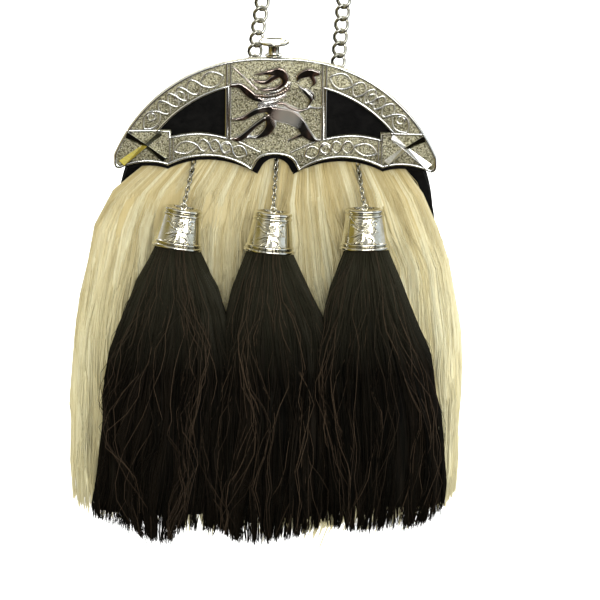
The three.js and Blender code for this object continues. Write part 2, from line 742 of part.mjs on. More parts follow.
for (const tassel of tassels) {
  const start = new THREE.Vector3(tassel.startX, tasselChain.startY, tassel.startZ);
  const end = coneTop(tassel).add(tasselChain.abovePlate);
  const chain = tube(start, end, tasselChain.diameter, tasselChain.sides);
  addPiece(`tassel_chain_${tassel.side}`, chain, finishes.chrome);
  addPiece(`tassel_cone_${tassel.side}`, makeCone(tassel), finishes.chrome);
  addPiece(`tassel_hair_${tassel.side}`, makeTasselHair(tassel), finishes.blackHair);
}
addPiece('hair_main', makePaleHair(), finishes.paleHair);

export default assembly;
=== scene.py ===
import math

import bmesh
import bpy
import numpy as np
from mathutils import Matrix, Vector


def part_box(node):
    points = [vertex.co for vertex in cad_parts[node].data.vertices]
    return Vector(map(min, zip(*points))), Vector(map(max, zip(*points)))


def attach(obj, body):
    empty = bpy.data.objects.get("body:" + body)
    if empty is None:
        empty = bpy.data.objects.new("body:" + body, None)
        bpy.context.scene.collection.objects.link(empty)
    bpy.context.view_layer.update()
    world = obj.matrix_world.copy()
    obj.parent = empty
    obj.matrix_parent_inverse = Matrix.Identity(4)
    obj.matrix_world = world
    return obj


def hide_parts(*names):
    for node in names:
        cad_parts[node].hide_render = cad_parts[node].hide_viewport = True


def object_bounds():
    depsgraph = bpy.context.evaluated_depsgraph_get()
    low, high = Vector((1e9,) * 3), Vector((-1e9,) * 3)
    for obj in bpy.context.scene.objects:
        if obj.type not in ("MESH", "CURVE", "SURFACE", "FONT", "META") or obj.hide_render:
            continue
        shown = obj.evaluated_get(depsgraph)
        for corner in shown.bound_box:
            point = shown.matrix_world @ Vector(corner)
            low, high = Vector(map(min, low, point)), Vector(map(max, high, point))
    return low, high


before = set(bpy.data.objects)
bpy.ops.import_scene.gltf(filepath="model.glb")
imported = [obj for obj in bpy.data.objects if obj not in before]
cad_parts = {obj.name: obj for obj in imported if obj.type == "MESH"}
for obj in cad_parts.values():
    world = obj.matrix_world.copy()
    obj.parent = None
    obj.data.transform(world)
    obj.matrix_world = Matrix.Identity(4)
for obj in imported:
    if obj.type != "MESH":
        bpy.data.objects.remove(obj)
cadLow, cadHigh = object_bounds()
mm = 0.001

# The pouch's own frame, in millimetres: x from its centre line, y to the back,
# z up from the cantle's top.
cantleLow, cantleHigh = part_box("cantle")
cantleBackY = -3.0
pouchOrigin = np.array([
    (cantleLow.x + cantleHigh.x) / 2, cantleHigh.y - cantleBackY * mm, cantleHigh.z,
])


def placed(points):
    return pouchOrigin + np.asarray(points, float) * mm


# ---------- mesh helpers ----------

def addObject(name, data):
    item = bpy.data.objects.new(name, data)
    bpy.context.scene.collection.objects.link(item)
    return item


def makeObject(name, mesh, material=None, smooth=True):
    if material:
        mesh.materials.clear()
        mesh.materials.append(material)
    mesh.polygons.foreach_set("use_smooth", np.full(len(mesh.polygons), smooth))
    return addObject(name, mesh)


def plainMesh(name, points, edges=(), faces=()):
    mesh = bpy.data.meshes.new(name)
    mesh.from_pydata(placed(points).tolist(), edges, faces)
    return mesh


def storeValues(mesh, label, values, kind="FLOAT", domain="POINT"):
    field = {"FLOAT": "value", "FLOAT_VECTOR": "vector", "FLOAT_COLOR": "color"}[kind]
    attribute = mesh.attributes.new(label, kind, domain)
    attribute.data.foreach_set(field, np.asarray(values, np.float32).ravel())


def meshFromFaces(name, points, corners, sizes):
    # corners lists every face's vertices in turn, and sizes how many each face has
    mesh = bpy.data.meshes.new(name)
    mesh.vertices.add(len(points))
    mesh.vertices.foreach_set("co", np.asarray(points, np.float32).ravel())
    mesh.loops.add(len(corners))
    mesh.loops.foreach_set("vertex_index", np.asarray(corners, np.int32))
    mesh.polygons.add(len(sizes))
    starts = np.concatenate([[0], np.cumsum(sizes)[:-1]]).astype(np.int32)
    mesh.polygons.foreach_set("loop_start", starts)
    mesh.update(calc_edges=True)
    return mesh


def ringMesh(name, rings):
    # closed skin over rings of equal length, an array of rings by sides by 3, in millimetres
    rings = np.asarray(rings, float)
    count, sides = rings.shape[:2]
    i, j = np.meshgrid(np.arange(count - 1), np.arange(sides), indexing="ij")
    a = i * sides + j
    b = i * sides + (j + 1) % sides
    faces = np.stack([a, b, b + sides, a + sides], axis=-1).reshape(-1, 4).tolist()
    points = np.concatenate([rings.reshape(-1, 3), [rings[0].mean(0), rings[-1].mean(0)]])
    first, last = len(points) - 2, len(points) - 1
    end = (count - 1) * sides
    for k in range(sides):
        n = (k + 1) % sides
        faces += [[n, k, first], [end + k, end + n, last]]
    mesh = plainMesh(name, points, faces=faces)
    outward(mesh)
    return mesh


def outward(mesh, merge=0.0):
    work = bmesh.new()
    work.from_mesh(mesh)
    if merge:
        bmesh.ops.remove_doubles(work, verts=work.verts, dist=merge)
    bmesh.ops.recalc_face_normals(work, faces=work.faces)
    work.to_mesh(mesh)
    work.free()


def evaluatedCopy(name, source, material=None, smooth=True):
    bpy.context.view_layer.update()
    graph = bpy.context.evaluated_depsgraph_get()
    mesh = bpy.data.meshes.new_from_object(source.evaluated_get(graph))
    mesh.name = name
    bpy.data.objects.remove(source)
    return makeObject(name, mesh, material, smooth)


def joinPieces(name, pieces, material):
    work = bmesh.new()
    for piece in pieces:
        work.from_mesh(piece.data)
        bpy.data.objects.remove(piece)
    mesh = bpy.data.meshes.new(name)
    work.to_mesh(mesh)
    work.free()
    return makeObject(name, mesh, material)


def movePoints(mesh, move):
    co = np.zeros(len(mesh.vertices) * 3)
    mesh.vertices.foreach_get("co", co)
    mesh.vertices.foreach_set("co", placed(move(co.reshape(-1, 3))).ravel())
    mesh.update()


def curveSource(name, loops, cyclic, **settings):
    # each loop is a row of x, y, z and radius for every point
    curve = bpy.data.curves.new(name, "CURVE")
    for key, value in settings.items():
        setattr(curve, key, value)
    for loop in loops:
        spline = curve.splines.new("POLY")
        spline.points.add(len(loop) - 1)
        spline.use_cyclic_u = cyclic
        for point, (*co, radius) in zip(spline.points, loop):
            point.co = (*co, 1)
            point.radius = radius
    return addObject(name + "Curve", curve)


def flatPlate(name, loops, frontY, backY, bevel, material):
    # a plate with rounded edges: the first loop is its outline and the others are holes
    rows = [[(x, z, 0, 1) for x, z in loop] for loop in loops]
    source = curveSource(name, rows, True, dimensions="2D", fill_mode="BOTH", bevel_depth=bevel,
                         bevel_resolution=2, offset=-bevel, extrude=(backY - frontY) / 2 - bevel)
    piece = evaluatedCopy(name, source, material)
    # the curve is drawn in x and y: its y becomes z, and its face looks to the front
    middle = (frontY + backY) / 2
    movePoints(piece.data, lambda co: np.stack([co[:, 0], middle - co[:, 2], co[:, 1]], axis=1))
    outward(piece.data, 1e-6)
    smoothByAngle(piece, 35)
    return piece


def roundTube(name, points, diameter, material=None, closed=False):
    # a round bar along points in the pouch frame
    rows = [(*point, diameter) for point in np.asarray(points, float)]
    source = curveSource(name, [rows], closed, dimensions="3D", bevel_depth=0.5, bevel_resolution=2,
                         use_fill_caps=True)
    piece = evaluatedCopy(name, source, material)
    movePoints(piece.data, lambda co: co)
    outward(piece.data)
    return piece


def smoothByAngle(piece, degrees):
    work = bmesh.new()
    work.from_mesh(piece.data)
    limit = math.radians(degrees)
    for edge in work.edges:
        edge.smooth = len(edge.link_faces) == 2 and edge.calc_face_angle(0) < limit
    work.to_mesh(piece.data)
    work.free()


def keepPiece(piece, slotName, *nodes):
    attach(piece, "root")
    if nodes:
        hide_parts(*nodes)
    return piece


# ---------- shader helpers ----------

def link(tree, fromSocket, toSocket):
    tree.links.new(fromSocket, toSocket)


def addNode(tree, kind, inputs=None, **settings):
    # a node with its settings, each input linked or set by its name or number
    node = tree.nodes.new(kind)
    for name, value in settings.items():
        setattr(node, name, value)
    for key, value in (inputs or {}).items():
        socket = node.inputs[key]
        if isinstance(value, bpy.types.NodeSocket):
            link(tree, value, socket)
        elif socket.type == "RGBA" and len(value) == 3:
            socket.default_value = (*value, 1)
        else:
            socket.default_value = value
    return node


def mathNode(tree, operation, *values):
    return addNode(tree, "ShaderNodeMath", dict(enumerate(values)), operation=operation).outputs[0]


def mixColour(tree, factor, first, second, blend="MIX"):
    inputs = {0: factor, 6: first, 7: second}
    return addNode(tree, "ShaderNodeMix", inputs, data_type="RGBA", blend_type=blend).outputs[2]


def rangeMap(tree, value, fromLow, fromHigh, toLow=0.0, toHigh=1.0):
    inputs = {"Value": value, "From Min": fromLow, "From Max": fromHigh,
              "To Min": toLow, "To Max": toHigh}
    return addNode(tree, "ShaderNodeMapRange", inputs).outputs[0]


def objectPoint(tree):
    return tree.nodes.new("ShaderNodeTexCoord").outputs["Object"]


def readAttribute(tree, label):
    return addNode(tree, "ShaderNodeAttribute", attribute_name=label)


def noiseValue(tree, scale, detail=4.0, roughness=0.55, vector=None):
    inputs = {"Scale": scale, "Detail": detail, "Roughness": roughness,
              "Vector": vector or objectPoint(tree)}
    return addNode(tree, "ShaderNodeTexNoise", inputs).outputs["Fac"]


def newTree(name, kind, inputs, outputs):
    tree = bpy.data.node_groups.new(name, kind)
    for side, rows in (("INPUT", inputs), ("OUTPUT", outputs)):
        for label, socketKind, *value in rows:
            socket = tree.interface.new_socket(name=label, in_out=side, socket_type=socketKind)
            if value:
                socket.default_value = value[0]
    return tree, tree.nodes.new("NodeGroupInput"), tree.nodes.new("NodeGroupOutput")


def useGroup(tree, group, **values):
    return addNode(tree, "ShaderNodeGroup", values, node_tree=group)


floatKind, colourKind, integerKind = "NodeSocketFloat", "NodeSocketColor", "NodeSocketInt"
geometryKind, materialKind = "NodeSocketGeometry", "NodeSocketMaterial"


def makeTarnishGroup():
    # patchy dulling: large soft clouds broken by fine scratches and specks
    group, entry, leaving = newTree(
        "tarnish", "ShaderNodeTree",
        [("cloudScale", floatKind, 60.0), ("speckScale", floatKind, 900.0), ("amount", floatKind, 0.5)],
        [("mask", floatKind)],
    )
    cloud, speck = (noiseValue(group, entry.outputs[label], 5, 0.5)
                    for label in ("cloudScale", "speckScale"))
    both = mathNode(group, "MULTIPLY_ADD", cloud, 0.7, mathNode(group, "MULTIPLY", speck, 0.3))
    mask = rangeMap(group, both, 0.4, 0.62)
    link(group, mathNode(group, "MULTIPLY", mask, entry.outputs["amount"]), leaving.inputs["mask"])
    return group


def makeGrainGroup():
    # leather pores and creases as a height
    group, entry, leaving = newTree(
        "leatherGrain", "ShaderNodeTree",
        [("poreScale", floatKind, 1400.0), ("creaseScale", floatKind, 180.0)],
        [("height", floatKind), ("mottle", floatKind)],
    )
    point = objectPoint(group)
    pores = addNode(group, "ShaderNodeTexVoronoi", {
        "Vector": point, "Scale": entry.outputs["poreScale"]})
    creases = addNode(group, "ShaderNodeTexNoise", {
        "Vector": point, "Scale": entry.outputs["creaseScale"], "Detail": 8, "Distortion": 1.2})
    height = mathNode(group, "ADD", mathNode(group, "MULTIPLY", pores.outputs["Distance"], 0.6),
                      mathNode(group, "MULTIPLY", creases.outputs["Fac"], 0.8))
    link(group, height, leaving.inputs["height"])
    link(group, rangeMap(group, creases.outputs["Fac"], 0.35, 0.7), leaving.inputs["mottle"])
    return group


def makeHairGroup():
    # colour of a hair by its own tone, with painted shading by how far along it the point is, and fine
    # streaks
    group, entry, leaving = newTree(
        "hairColour", "ShaderNodeTree",
        [("rootColour", colourKind, (0.5, 0.3, 0.1, 1)), ("midColour", colourKind, (0.8, 0.7, 0.4, 1)),
         ("paleColour", colourKind, (0.9, 0.85, 0.6, 1)), ("darkShare", floatKind, 0.3)],
        [("colour", colourKind), ("streak", floatKind)],
    )
    tone, along = (readAttribute(group, label).outputs["Fac"] for label in ("tone", "along"))
    lengthwise = addNode(group, "ShaderNodeMapping", {
        "Scale": (1400, 1400, 25), "Vector": objectPoint(group)})
    streak = noiseValue(group, 1.0, 3.0, 0.6, lengthwise.outputs[0])
    streakMask = rangeMap(group, streak, 0.35, 0.68)
    pale = mixColour(group, tone, entry.outputs["midColour"], entry.outputs["paleColour"])
    # painted shading near the roots: the root colour darkens the pale hair under the cantle and
    # lightens the black hair below the cones
    nearRoot = rangeMap(group, along, 0.02, 0.42, 1.0, 0.0)
    rootShading = mathNode(group, "MULTIPLY", nearRoot, mathNode(group, "MULTIPLY_ADD", tone, -0.7, 0.95))
    based = mixColour(group, rootShading, pale, entry.outputs["rootColour"])
    shade = mathNode(group, "MULTIPLY", streakMask, entry.outputs["darkShare"])
    streaked = mixColour(group, shade, based, entry.outputs["rootColour"])
    link(group, streaked, leaving.inputs["colour"])
    link(group, streakMask, leaving.inputs["streak"])
    return group


def newMaterial(name, colour, metallic=0.0, roughness=0.5):
    material = bpy.data.materials.new(name)
    material.use_nodes = True
    shader = material.node_tree.nodes["Principled BSDF"]
    shader.inputs["Base Color"].default_value = (*colour, 1)
    shader.inputs["Metallic"].default_value = metallic
    shader.inputs["Roughness"].default_value = roughness
    return material, material.node_tree, shader


def bumpInto(tree, shader, height, strength, distance):
    bump = addNode(tree, "ShaderNodeBump", {
        "Strength": strength, "Distance": distance, "Height": height})
    link(tree, bump.outputs["Normal"], shader.inputs["Normal"])


def tarnishMask(tree, cloudScale, speckScale, amount):
    group = useGroup(tree, tarnish, cloudScale=cloudScale, speckScale=speckScale, amount=amount)
    return group.outputs["mask"]


tarnish = makeTarnishGroup()
leatherGrain = makeGrainGroup()
hairColour = makeHairGroup()


def makeCantleMetal():
    # bright where the casting stands proud, olive and pitted down in its ground
    material, tree, shader = newMaterial("cantleMetal", (0.6, 0.59, 0.52), 1.0, 0.3)
    depth = addNode(tree, "ShaderNodeSeparateXYZ", {0: objectPoint(tree)}).outputs["Y"]
    proud = rangeMap(tree, depth, placed([0, -5.2, 0])[1], placed([0, -5.75, 0])[1])
    raised = rangeMap(tree, depth, placed([0, -5.0, 0])[1], placed([0, -5.24, 0])[1])
    dull = tarnishMask(tree, 90.0, 1500.0, 0.6)
    speckle = rangeMap(tree, noiseValue(tree, 1050.0, 1.0, 0.5), 0.38, 0.60)
    pits = mixColour(tree, speckle, (0.15, 0.135, 0.075), (0.63, 0.60, 0.41))
    sand = mixColour(tree, dull, (0.96, 0.93, 0.76), (0.62, 0.58, 0.40))
    ground = mixColour(tree, raised, pits, sand)
    polish = mathNode(tree, "MULTIPLY", dull, 0.4)
    bright = mixColour(tree, polish, (0.90, 0.90, 0.87), (0.60, 0.59, 0.52))
    crevice = addNode(tree, "ShaderNodeAmbientOcclusion", {"Distance": 0.9 * mm}, samples=6)
    openness = rangeMap(tree, crevice.outputs["AO"], 0.3, 0.8, 0.1, 1.0)
    base = mixColour(tree, proud, ground, bright)
    grey = addNode(tree, "ShaderNodeCombineColor", {0: openness, 1: openness, 2: openness})
    link(tree, mixColour(tree, 1.0, base, grey.outputs[0], "MULTIPLY"), shader.inputs["Base Color"])
    rough = mathNode(tree, "MULTIPLY_ADD", dull, 0.1, rangeMap(tree, proud, 0, 1, 0.4, 0.14))
    link(tree, rough, shader.inputs["Roughness"])
    flat = mathNode(tree, "SUBTRACT", 1.0, proud)
    grit = mathNode(tree, "MULTIPLY", noiseValue(tree, 1300.0, 3.0, 0.7), flat)
    bumpInto(tree, shader, grit, 0.6, 0.0005)
    return material


def makeLionMetal():
    # dark polish with a dull flank and a painted highlight along the rims, from the edge attribute of
    # the relief
    material, tree, shader = newMaterial("lionMetal", (0.2, 0.16, 0.14), 1.0, 0.16)
    cloud = rangeMap(tree, noiseValue(tree, 75.0, 2.0), 0.42, 0.6)
    dark = mixColour(tree, cloud, (0.34, 0.33, 0.31), (0.42, 0.33, 0.28))
    middle = placed([5.5, -6.5, -29.6])
    away = addNode(tree, "ShaderNodeVectorMath", {0: objectPoint(tree), 1: middle},
                   operation="DISTANCE")
    flank = rangeMap(tree, away.outputs["Value"], 3.5 * mm, 8.5 * mm, 0.75, 0.0)
    body = mixColour(tree, flank, dark, (0.17, 0.155, 0.125))
    # painted highlight: the rims are mixed towards near white
    rim = rangeMap(tree, readAttribute(tree, "edge").outputs["Fac"], 0.35, 0.75)
    link(tree, mixColour(tree, rim, body, (0.92, 0.91, 0.88)), shader.inputs["Base Color"])
    link(tree, mathNode(tree, "SUBTRACT", 1.0, flank), shader.inputs["Metallic"])
    dull = tarnishMask(tree, 110.0, 1100.0, 0.5)
    link(tree, mathNode(tree, "MULTIPLY_ADD", dull, 0.12, 0.1), shader.inputs["Roughness"])
    bumpInto(tree, shader, noiseValue(tree, 120.0, 1.0), 0.5, 0.002)
    return material


def makeChrome(name, bright, dullColour, dullShare, roughness):
    material, tree, shader = newMaterial(name, bright, 1.0, roughness)
    dull = tarnishMask(tree, 140.0, 1200.0, dullShare)
    link(tree, mixColour(tree, dull, bright, dullColour), shader.inputs["Base Color"])
    link(tree, mathNode(tree, "MULTIPLY_ADD", dull, 0.2, roughness), shader.inputs["Roughness"])
    bumpInto(tree, shader, noiseValue(tree, 300.0, 2.0), 0.08, 0.0004)
    return material


def makeLeather():
    material, tree, shader = newMaterial("blackLeather", (0.005, 0.005, 0.005), 0.0, 0.5)
    grain = useGroup(tree, leatherGrain, poreScale=1300.0, creaseScale=160.0)
    mottled = mixColour(tree, grain.outputs["mottle"], (0.002, 0.0019, 0.0018), (0.006, 0.0056, 0.005))
    link(tree, mottled, shader.inputs["Base Color"])
    link(tree, rangeMap(tree, grain.outputs["mottle"], 0, 1, 0.42, 0.6), shader.inputs["Roughness"])
    shader.inputs["Specular IOR Level"].default_value = 0.05
    bumpInto(tree, shader, grain.outputs["height"], 0.35, 0.0003)
    return material


def makeThread():
    material, tree, shader = newMaterial("waxedThread", (0.02, 0.018, 0.016), 0.0, 0.6)
    toneMix = mixColour(tree, noiseValue(tree, 2500.0, 2.0), (0.012, 0.011, 0.010), (0.05, 0.046, 0.04))
    link(tree, toneMix, shader.inputs["Base Color"])
    return material


def makeHair(name, tones):
    material, tree, shader = newMaterial(name, tones["mid"], 0.0, 0.45)
    colours = useGroup(tree, hairColour, rootColour=tones["root"], midColour=tones["mid"],
                       paleColour=tones["pale"], darkShare=tones["darkShare"])
    link(tree, colours.outputs["colour"], shader.inputs["Base Color"])
    bumpInto(tree, shader, colours.outputs["streak"], 0.25, 0.0006)
    shader.inputs["Specular IOR Level"].default_value = tones["shine"]
    return material


# root is both the colour of a hair's streaks and the painted shading near its roots
hairTones = {
    "pale": {"root": (0.47, 0.35, 0.13), "mid": (0.71, 0.63, 0.35), "pale": (0.84, 0.81, 0.56),
             "darkShare": 0.26, "shine": 0.35},
    "black": {"root": (0.034, 0.032, 0.019), "mid": (0.0008, 0.0007, 0.0005),
              "pale": (0.062, 0.042, 0.026), "darkShare": 0.12, "shine": 0.06},
}
cantleMetal = makeCantleMetal()
lionMetal = makeLionMetal()
coneChrome = makeChrome("coneChrome", (0.82, 0.80, 0.70), (0.50, 0.46, 0.30), 0.6, 0.09)
chainMetal = makeChrome("chainMetal", (0.58, 0.57, 0.50), (0.28, 0.27, 0.20), 0.6, 0.16)
blackLeather = makeLeather()
waxedThread = makeThread()
paleHair = makeHair("paleHair", hairTones["pale"])
blackHair = makeHair("blackHair", hairTones["black"])
print("materials made")


# ---------- cantle ----------

cantleSizes = {
    "outerRadius": 89.5, "innerRadius": 76.5, "tipX": 80.2, "tipRound": 2.4, "backingTip": 4.4,
    "shieldHalf": 24.3, "sillZ": -40.6, "sillCrown": -38.4, "blockInner": 52.0, "blockTop": -37.3,
    "backingDrop": 2.6, "groundY": -5.0, "rimWidth": 1.3, "grainSize": 0.78, "grainSpacing": 0.86,
    "swell": 1.75, "swellEnd": 62.0,
}
arcCentreZ = -cantleSizes["outerRadius"]


def swollen(radius, angle):
    # the arcs are squarer than a circle: they swell most between the top and the tips
    share = np.abs(angle) / math.radians(cantleSizes["swellEnd"])
    return radius + cantleSizes["swell"] * np.sin(np.pi * share)


def arcPoints(radius, angles):
    reach = swollen(radius, angles)
    return np.stack([reach * np.sin(angles), arcCentreZ + reach * np.cos(angles)], axis=1)


def arcAngle(radius, x=None, z=None):
    angle = 0.5
    for _ in range(12):
        reach = swollen(radius, angle)
        angle = math.asin(x / reach) if z is None else math.acos((z - arcCentreZ) / reach)
    return angle


def arcHeight(radius, x):
    return arcPoints(radius, np.array([arcAngle(radius, x=abs(x))]))[0, 1]


def bezierPoints(corners, share):
    t = share[:, None]
    a, b, c, d = (np.array(corner, float) for corner in corners)
    return (1 - t) ** 3 * a + 3 * (1 - t) ** 2 * t * b + 3 * (1 - t) * t ** 2 * c + t ** 3 * d


def lowerEdge(drop):
    # right half of the lower edge, from the tip to the centre line
    side, foot = 9.8 - drop, 11.5 - drop
    curves = [
        [(79, -58.3), (70, -53), (60, -53), (53.5, -55.4)],
        [(53.5, -55.4), (38, -47.4), (22, -49.6), (foot, -57.4)],
        [(side, -54.2), (side - 1.3, -50.8), (side - 5, -49.2), (0, -49.2)],
    ]
    parts = [bezierPoints(curve, np.linspace(0, 1, count))
             for curve, count in zip(curves, (24, 32, 14))]
    parts[1] = parts[1][1:]
    return np.concatenate(parts) - [0, drop]


def cantleOutline(inset, drop, tipInset=0.0):
    radius = cantleSizes["outerRadius"] - inset
    tipX = cantleSizes["tipX"] - inset - tipInset
    end = arcAngle(radius, x=tipX)
    arc = arcPoints(radius, np.linspace(-end, end, 120))
    below = lowerEdge(drop)
    tipRound = cantleSizes["tipRound"]
    endX = tipX - tipRound
    endZ = np.interp(endX, below[::-1, 0], below[::-1, 1])
    corner = np.array([[tipX, endZ], [tipX, endZ], [endX, endZ]])
    corner[:2] += tipRound * np.array([[0, 1], [-0.3, 0.3]])
    below = below[below[:, 0] < endX]
    mirrored = below[::-1][1:] * [-1, 1]
    return np.concatenate([arc, corner, below, mirrored, corner[::-1] * [-1, 1]])


def windowOutline(side, margin):
    radius = cantleSizes["innerRadius"] + margin
    inner = cantleSizes["shieldHalf"] - margin
    block = cantleSizes["blockInner"] + margin
    sill = cantleSizes["sillZ"] - margin
    top = cantleSizes["blockTop"] - margin
    x = np.linspace(inner, block, 20)
    rise = cantleSizes["sillCrown"] - cantleSizes["sillZ"]
    crown = rise * np.sin(np.pi * (x - inner) / (block - inner))
    sillRow = np.stack([x, sill + crown], axis=1)
    arc = arcPoints(radius, np.linspace(arcAngle(radius, z=top), arcAngle(radius, x=inner), 34))
    loop = np.concatenate([sillRow, [[block, top]], arc])
    return loop * [side, 1]


def atDepth(loop, y):
    loop = np.asarray(loop, float)
    return np.stack([loop[:, 0], np.broadcast_to(y, (len(loop),)), loop[:, 1]], axis=1)


def makePlate():
    loops = [cantleOutline(0, 0), windowOutline(1, 0), windowOutline(-1, 0)[::-1]]
    return flatPlate("cantlePlate", loops, cantleSizes["groundY"], cantleBackY, 0.3, cantleMetal)


def makeRims():
    y = cantleSizes["groundY"] - 0.25
    width = cantleSizes["rimWidth"]
    outer = atDepth(cantleOutline(width / 2, -width / 2), y)
    pieces = [roundTube("outerRim", outer, width, closed=True)]
    for side in (-1, 1):
        pieces.append(roundTube("windowRim", atDepth(windowOutline(side, 0.7), y), width, closed=True))
        borderX = cantleSizes["shieldHalf"] - 1.6
        low = -41.2
        bars = [
            (0.9, [(borderX, arcHeight(88, borderX)), (borderX, low)]),
            (1.0, [(borderX + 1.9, arcHeight(88, borderX)), (borderX + 1.9, low)]),
            (1.2, [(57.4, -37.6), (73.6, -37.9)]),
            (0.8, [(51.0, -41.6), (51.0, -53.6)]),
            (0.8, [(52.6, -41.6), (52.6, -53.6)]),
            (0.9, [(22.6, -41.4), (16.5, -43.6), (7.6, -48.0)]),
        ]
        for thickness, points in bars:
            pieces.append(roundTube("bar", atDepth(np.array(points) * [side, 1], y), thickness))
    return joinPieces("cantleRims", pieces, cantleMetal)


saltire = {
    "centre": (64.6, -45.2), "ridge": 1.7, "innerWidth": 2.4, "ridgeShift": 0.34,
    # end and width of each arm, then the painted reflection on its broad face on the left and on the
    # right block
    "arms": [
        {"end": (74.6, -39.4), "width": 4.4, "tones": ("dark", "olive")},
        {"end": (76.6, -55.0), "width": 4.4, "tones": ("yellow", "bright")},
        {"end": (54.8, -53.0), "width": 4.0, "tones": ("dark", "bright")},
        {"end": (57.2, -38.8), "width": 3.4, "tones": ("dark", "bright")},
    ],
    # painted reflections for the faces: each colour stands for what a face mirrors, and edge is a
    # painted highlight
    "tones": {"dark": (0.05, 0.05, 0.035), "olive": (0.16, 0.15, 0.10), "yellow": (0.95, 0.82, 0.16),
              "bright": (0.90, 0.89, 0.84), "edge": (0.92, 0.92, 0.88)},
}


def makeSaltireMetal():
    # polish that carries each face's painted reflection, dulled in patches by tarnish
    material, tree, shader = newMaterial("saltireMetal", (0.8, 0.8, 0.76), 1.0, 0.2)
    tone = readAttribute(tree, "facetReflection").outputs["Color"]
    toneMix = mixColour(tree, tarnishMask(tree, 110.0, 1200.0, 0.5), tone, (0.34, 0.33, 0.25))
    link(tree, toneMix, shader.inputs["Base Color"])
    return material


def makeSaltires():
    # four roof-shaped arms on each end block, each wider towards its end
    points, faces, tones = [], [], []
    ground = cantleSizes["groundY"] + 0.1
    edge, dark = saltire["tones"]["edge"], saltire["tones"]["dark"]
    for side in (-1, 1):
        centre = np.array(saltire["centre"]) * [side, 1]
        for arm in saltire["arms"]:
            label = arm["tones"][(side + 1) // 2]
            broad = saltire["tones"][label]
            litFromAbove = label in ("yellow", "bright")
            end = np.array(arm["end"]) * [side, 1]
            along = (end - centre) / np.linalg.norm(end - centre)
            across = np.array([-along[1], along[0]])
            across *= math.copysign(1, across[1])
            start = centre - along * 0.4
            inner, outer = saltire["innerWidth"] / 2, arm["width"] / 2
            base = [start + across * inner, start - across * inner]
            base += [end - across * outer, end + across * outer]
            shift = across * saltire["ridgeShift"] * (-1 if litFromAbove else 1)
            ridge = [start + shift * inner * 2, end - along * 0.9 + shift * outer * 2]
            first = len(points)
            points += [(x, ground, z) for x, z in base]
            points += [(x, cantleSizes["groundY"] - saltire["ridge"], z) for x, z in ridge]
            a, b, c, d, low, high = range(first, first + 6)
            faces += [(a, b, c, d), (a, d, high, low), (c, b, low, high), (b, a, low), (d, c, high)]
            # painted light: of the two faces under the ridge, the one that looks up is painted lit and
            # the one that looks down painted dark
            upper, lower = (broad, dark) if litFromAbove else (edge, broad)
            tones += [broad, upper, lower, broad, broad]
    mesh = plainMesh("cantleSaltires", points, faces=faces)
    storeValues(mesh, "facetReflection", [(*tone, 1.0) for tone in tones], "FLOAT_COLOR", "FACE")
    outward(mesh)
    saltireMetal = makeSaltireMetal()
    piece = makeObject("cantleSaltires", mesh, saltireMetal, False)
    bevel = piece.modifiers.new("edges", "BEVEL")
    bevel.width = 0.22 * mm
    bevel.segments = 2
    return evaluatedCopy("cantleSaltires", piece, saltireMetal, False)


# Interlace of each band: where its two strands cross, as shares of the band's length.
knotBands = {
    "upper": {"radius": 83.0, "from": 18.2, "to": 51.0, "swing": 3.9,
              "nodes": [0.0, 0.25, 0.4, 0.52, 0.63, 0.76, 1.0],
              "loops": [(0.86, 0.9, 1.9), (0.5, -0.4, 2.6)]},
    "lower": {"curve": [(14.6, -49.4), (26, -43.6), (40, -43.4), (50.2, -48.0)], "swing": 3.0,
              "nodes": [0.0, 0.2, 0.36, 0.5, 0.66, 1.0], "loops": [(0.28, 0.0, 2.2)]},
}
knotLine = {"width": 1.1, "lift": 0.36}


def bandFrame(band, share):
    # centre line and outward direction of a band at each share of its length
    if "radius" in band:
        angle = np.radians(band["from"] + (band["to"] - band["from"]) * share)
        out = np.stack([np.sin(angle), np.cos(angle)], axis=1)
        return arcPoints(band["radius"], angle), out
    line = bezierPoints(band["curve"], share)
    along = np.gradient(line, axis=0)
    along /= np.linalg.norm(along, axis=1)[:, None]
    return line, np.stack([-along[:, 1], along[:, 0]], axis=1)


def makeKnots():
    pieces = []
    base = cantleSizes["groundY"] - 0.12
    for band in knotBands.values():
        nodes = np.array(band["nodes"])
        share = np.linspace(0.001, 0.999, 130)
        cell = np.clip(np.searchsorted(nodes, share) - 1, 0, len(nodes) - 2)
        within = (share - nodes[cell]) / (nodes[cell + 1] - nodes[cell])
        wave = np.sin(np.pi * within) ** 0.8 * np.where(cell % 2, -1, 1)
        line, out = bandFrame(band, share)
        crossing = np.cos(np.pi * (cell + within))
        for side in (-1, 1):
            for strand in (-1, 1):
                flat = line + out * (band["swing"] * strand * wave)[:, None]
                lift = knotLine["lift"] * strand * crossing
                y = base - np.abs(lift) * 0.2 - lift * 0.6
                path = np.stack([flat[:, 0] * side, y, flat[:, 1]], axis=1)
                pieces.append(roundTube("knotStrand", path, knotLine["width"]))
            for place, offset, radius in band["loops"]:
                centre, normal = bandFrame(band, np.array([place - 0.001, place, place + 0.001]))
                middle = centre[1] + normal[1] * offset * band["swing"] * 0.3
                turn = np.linspace(0, 2 * np.pi, 28, endpoint=False)
                ring = middle + radius * np.stack([np.cos(turn), np.sin(turn)], axis=1)
                y = base - 0.2 * np.cos(3 * turn)
                path = np.stack([ring[:, 0] * side, y, ring[:, 1]], axis=1)
                pieces.append(roundTube("knotLoop", path, knotLine["width"] * 0.9, closed=True))
    return joinPieces("cantleKnots", pieces, cantleMetal)


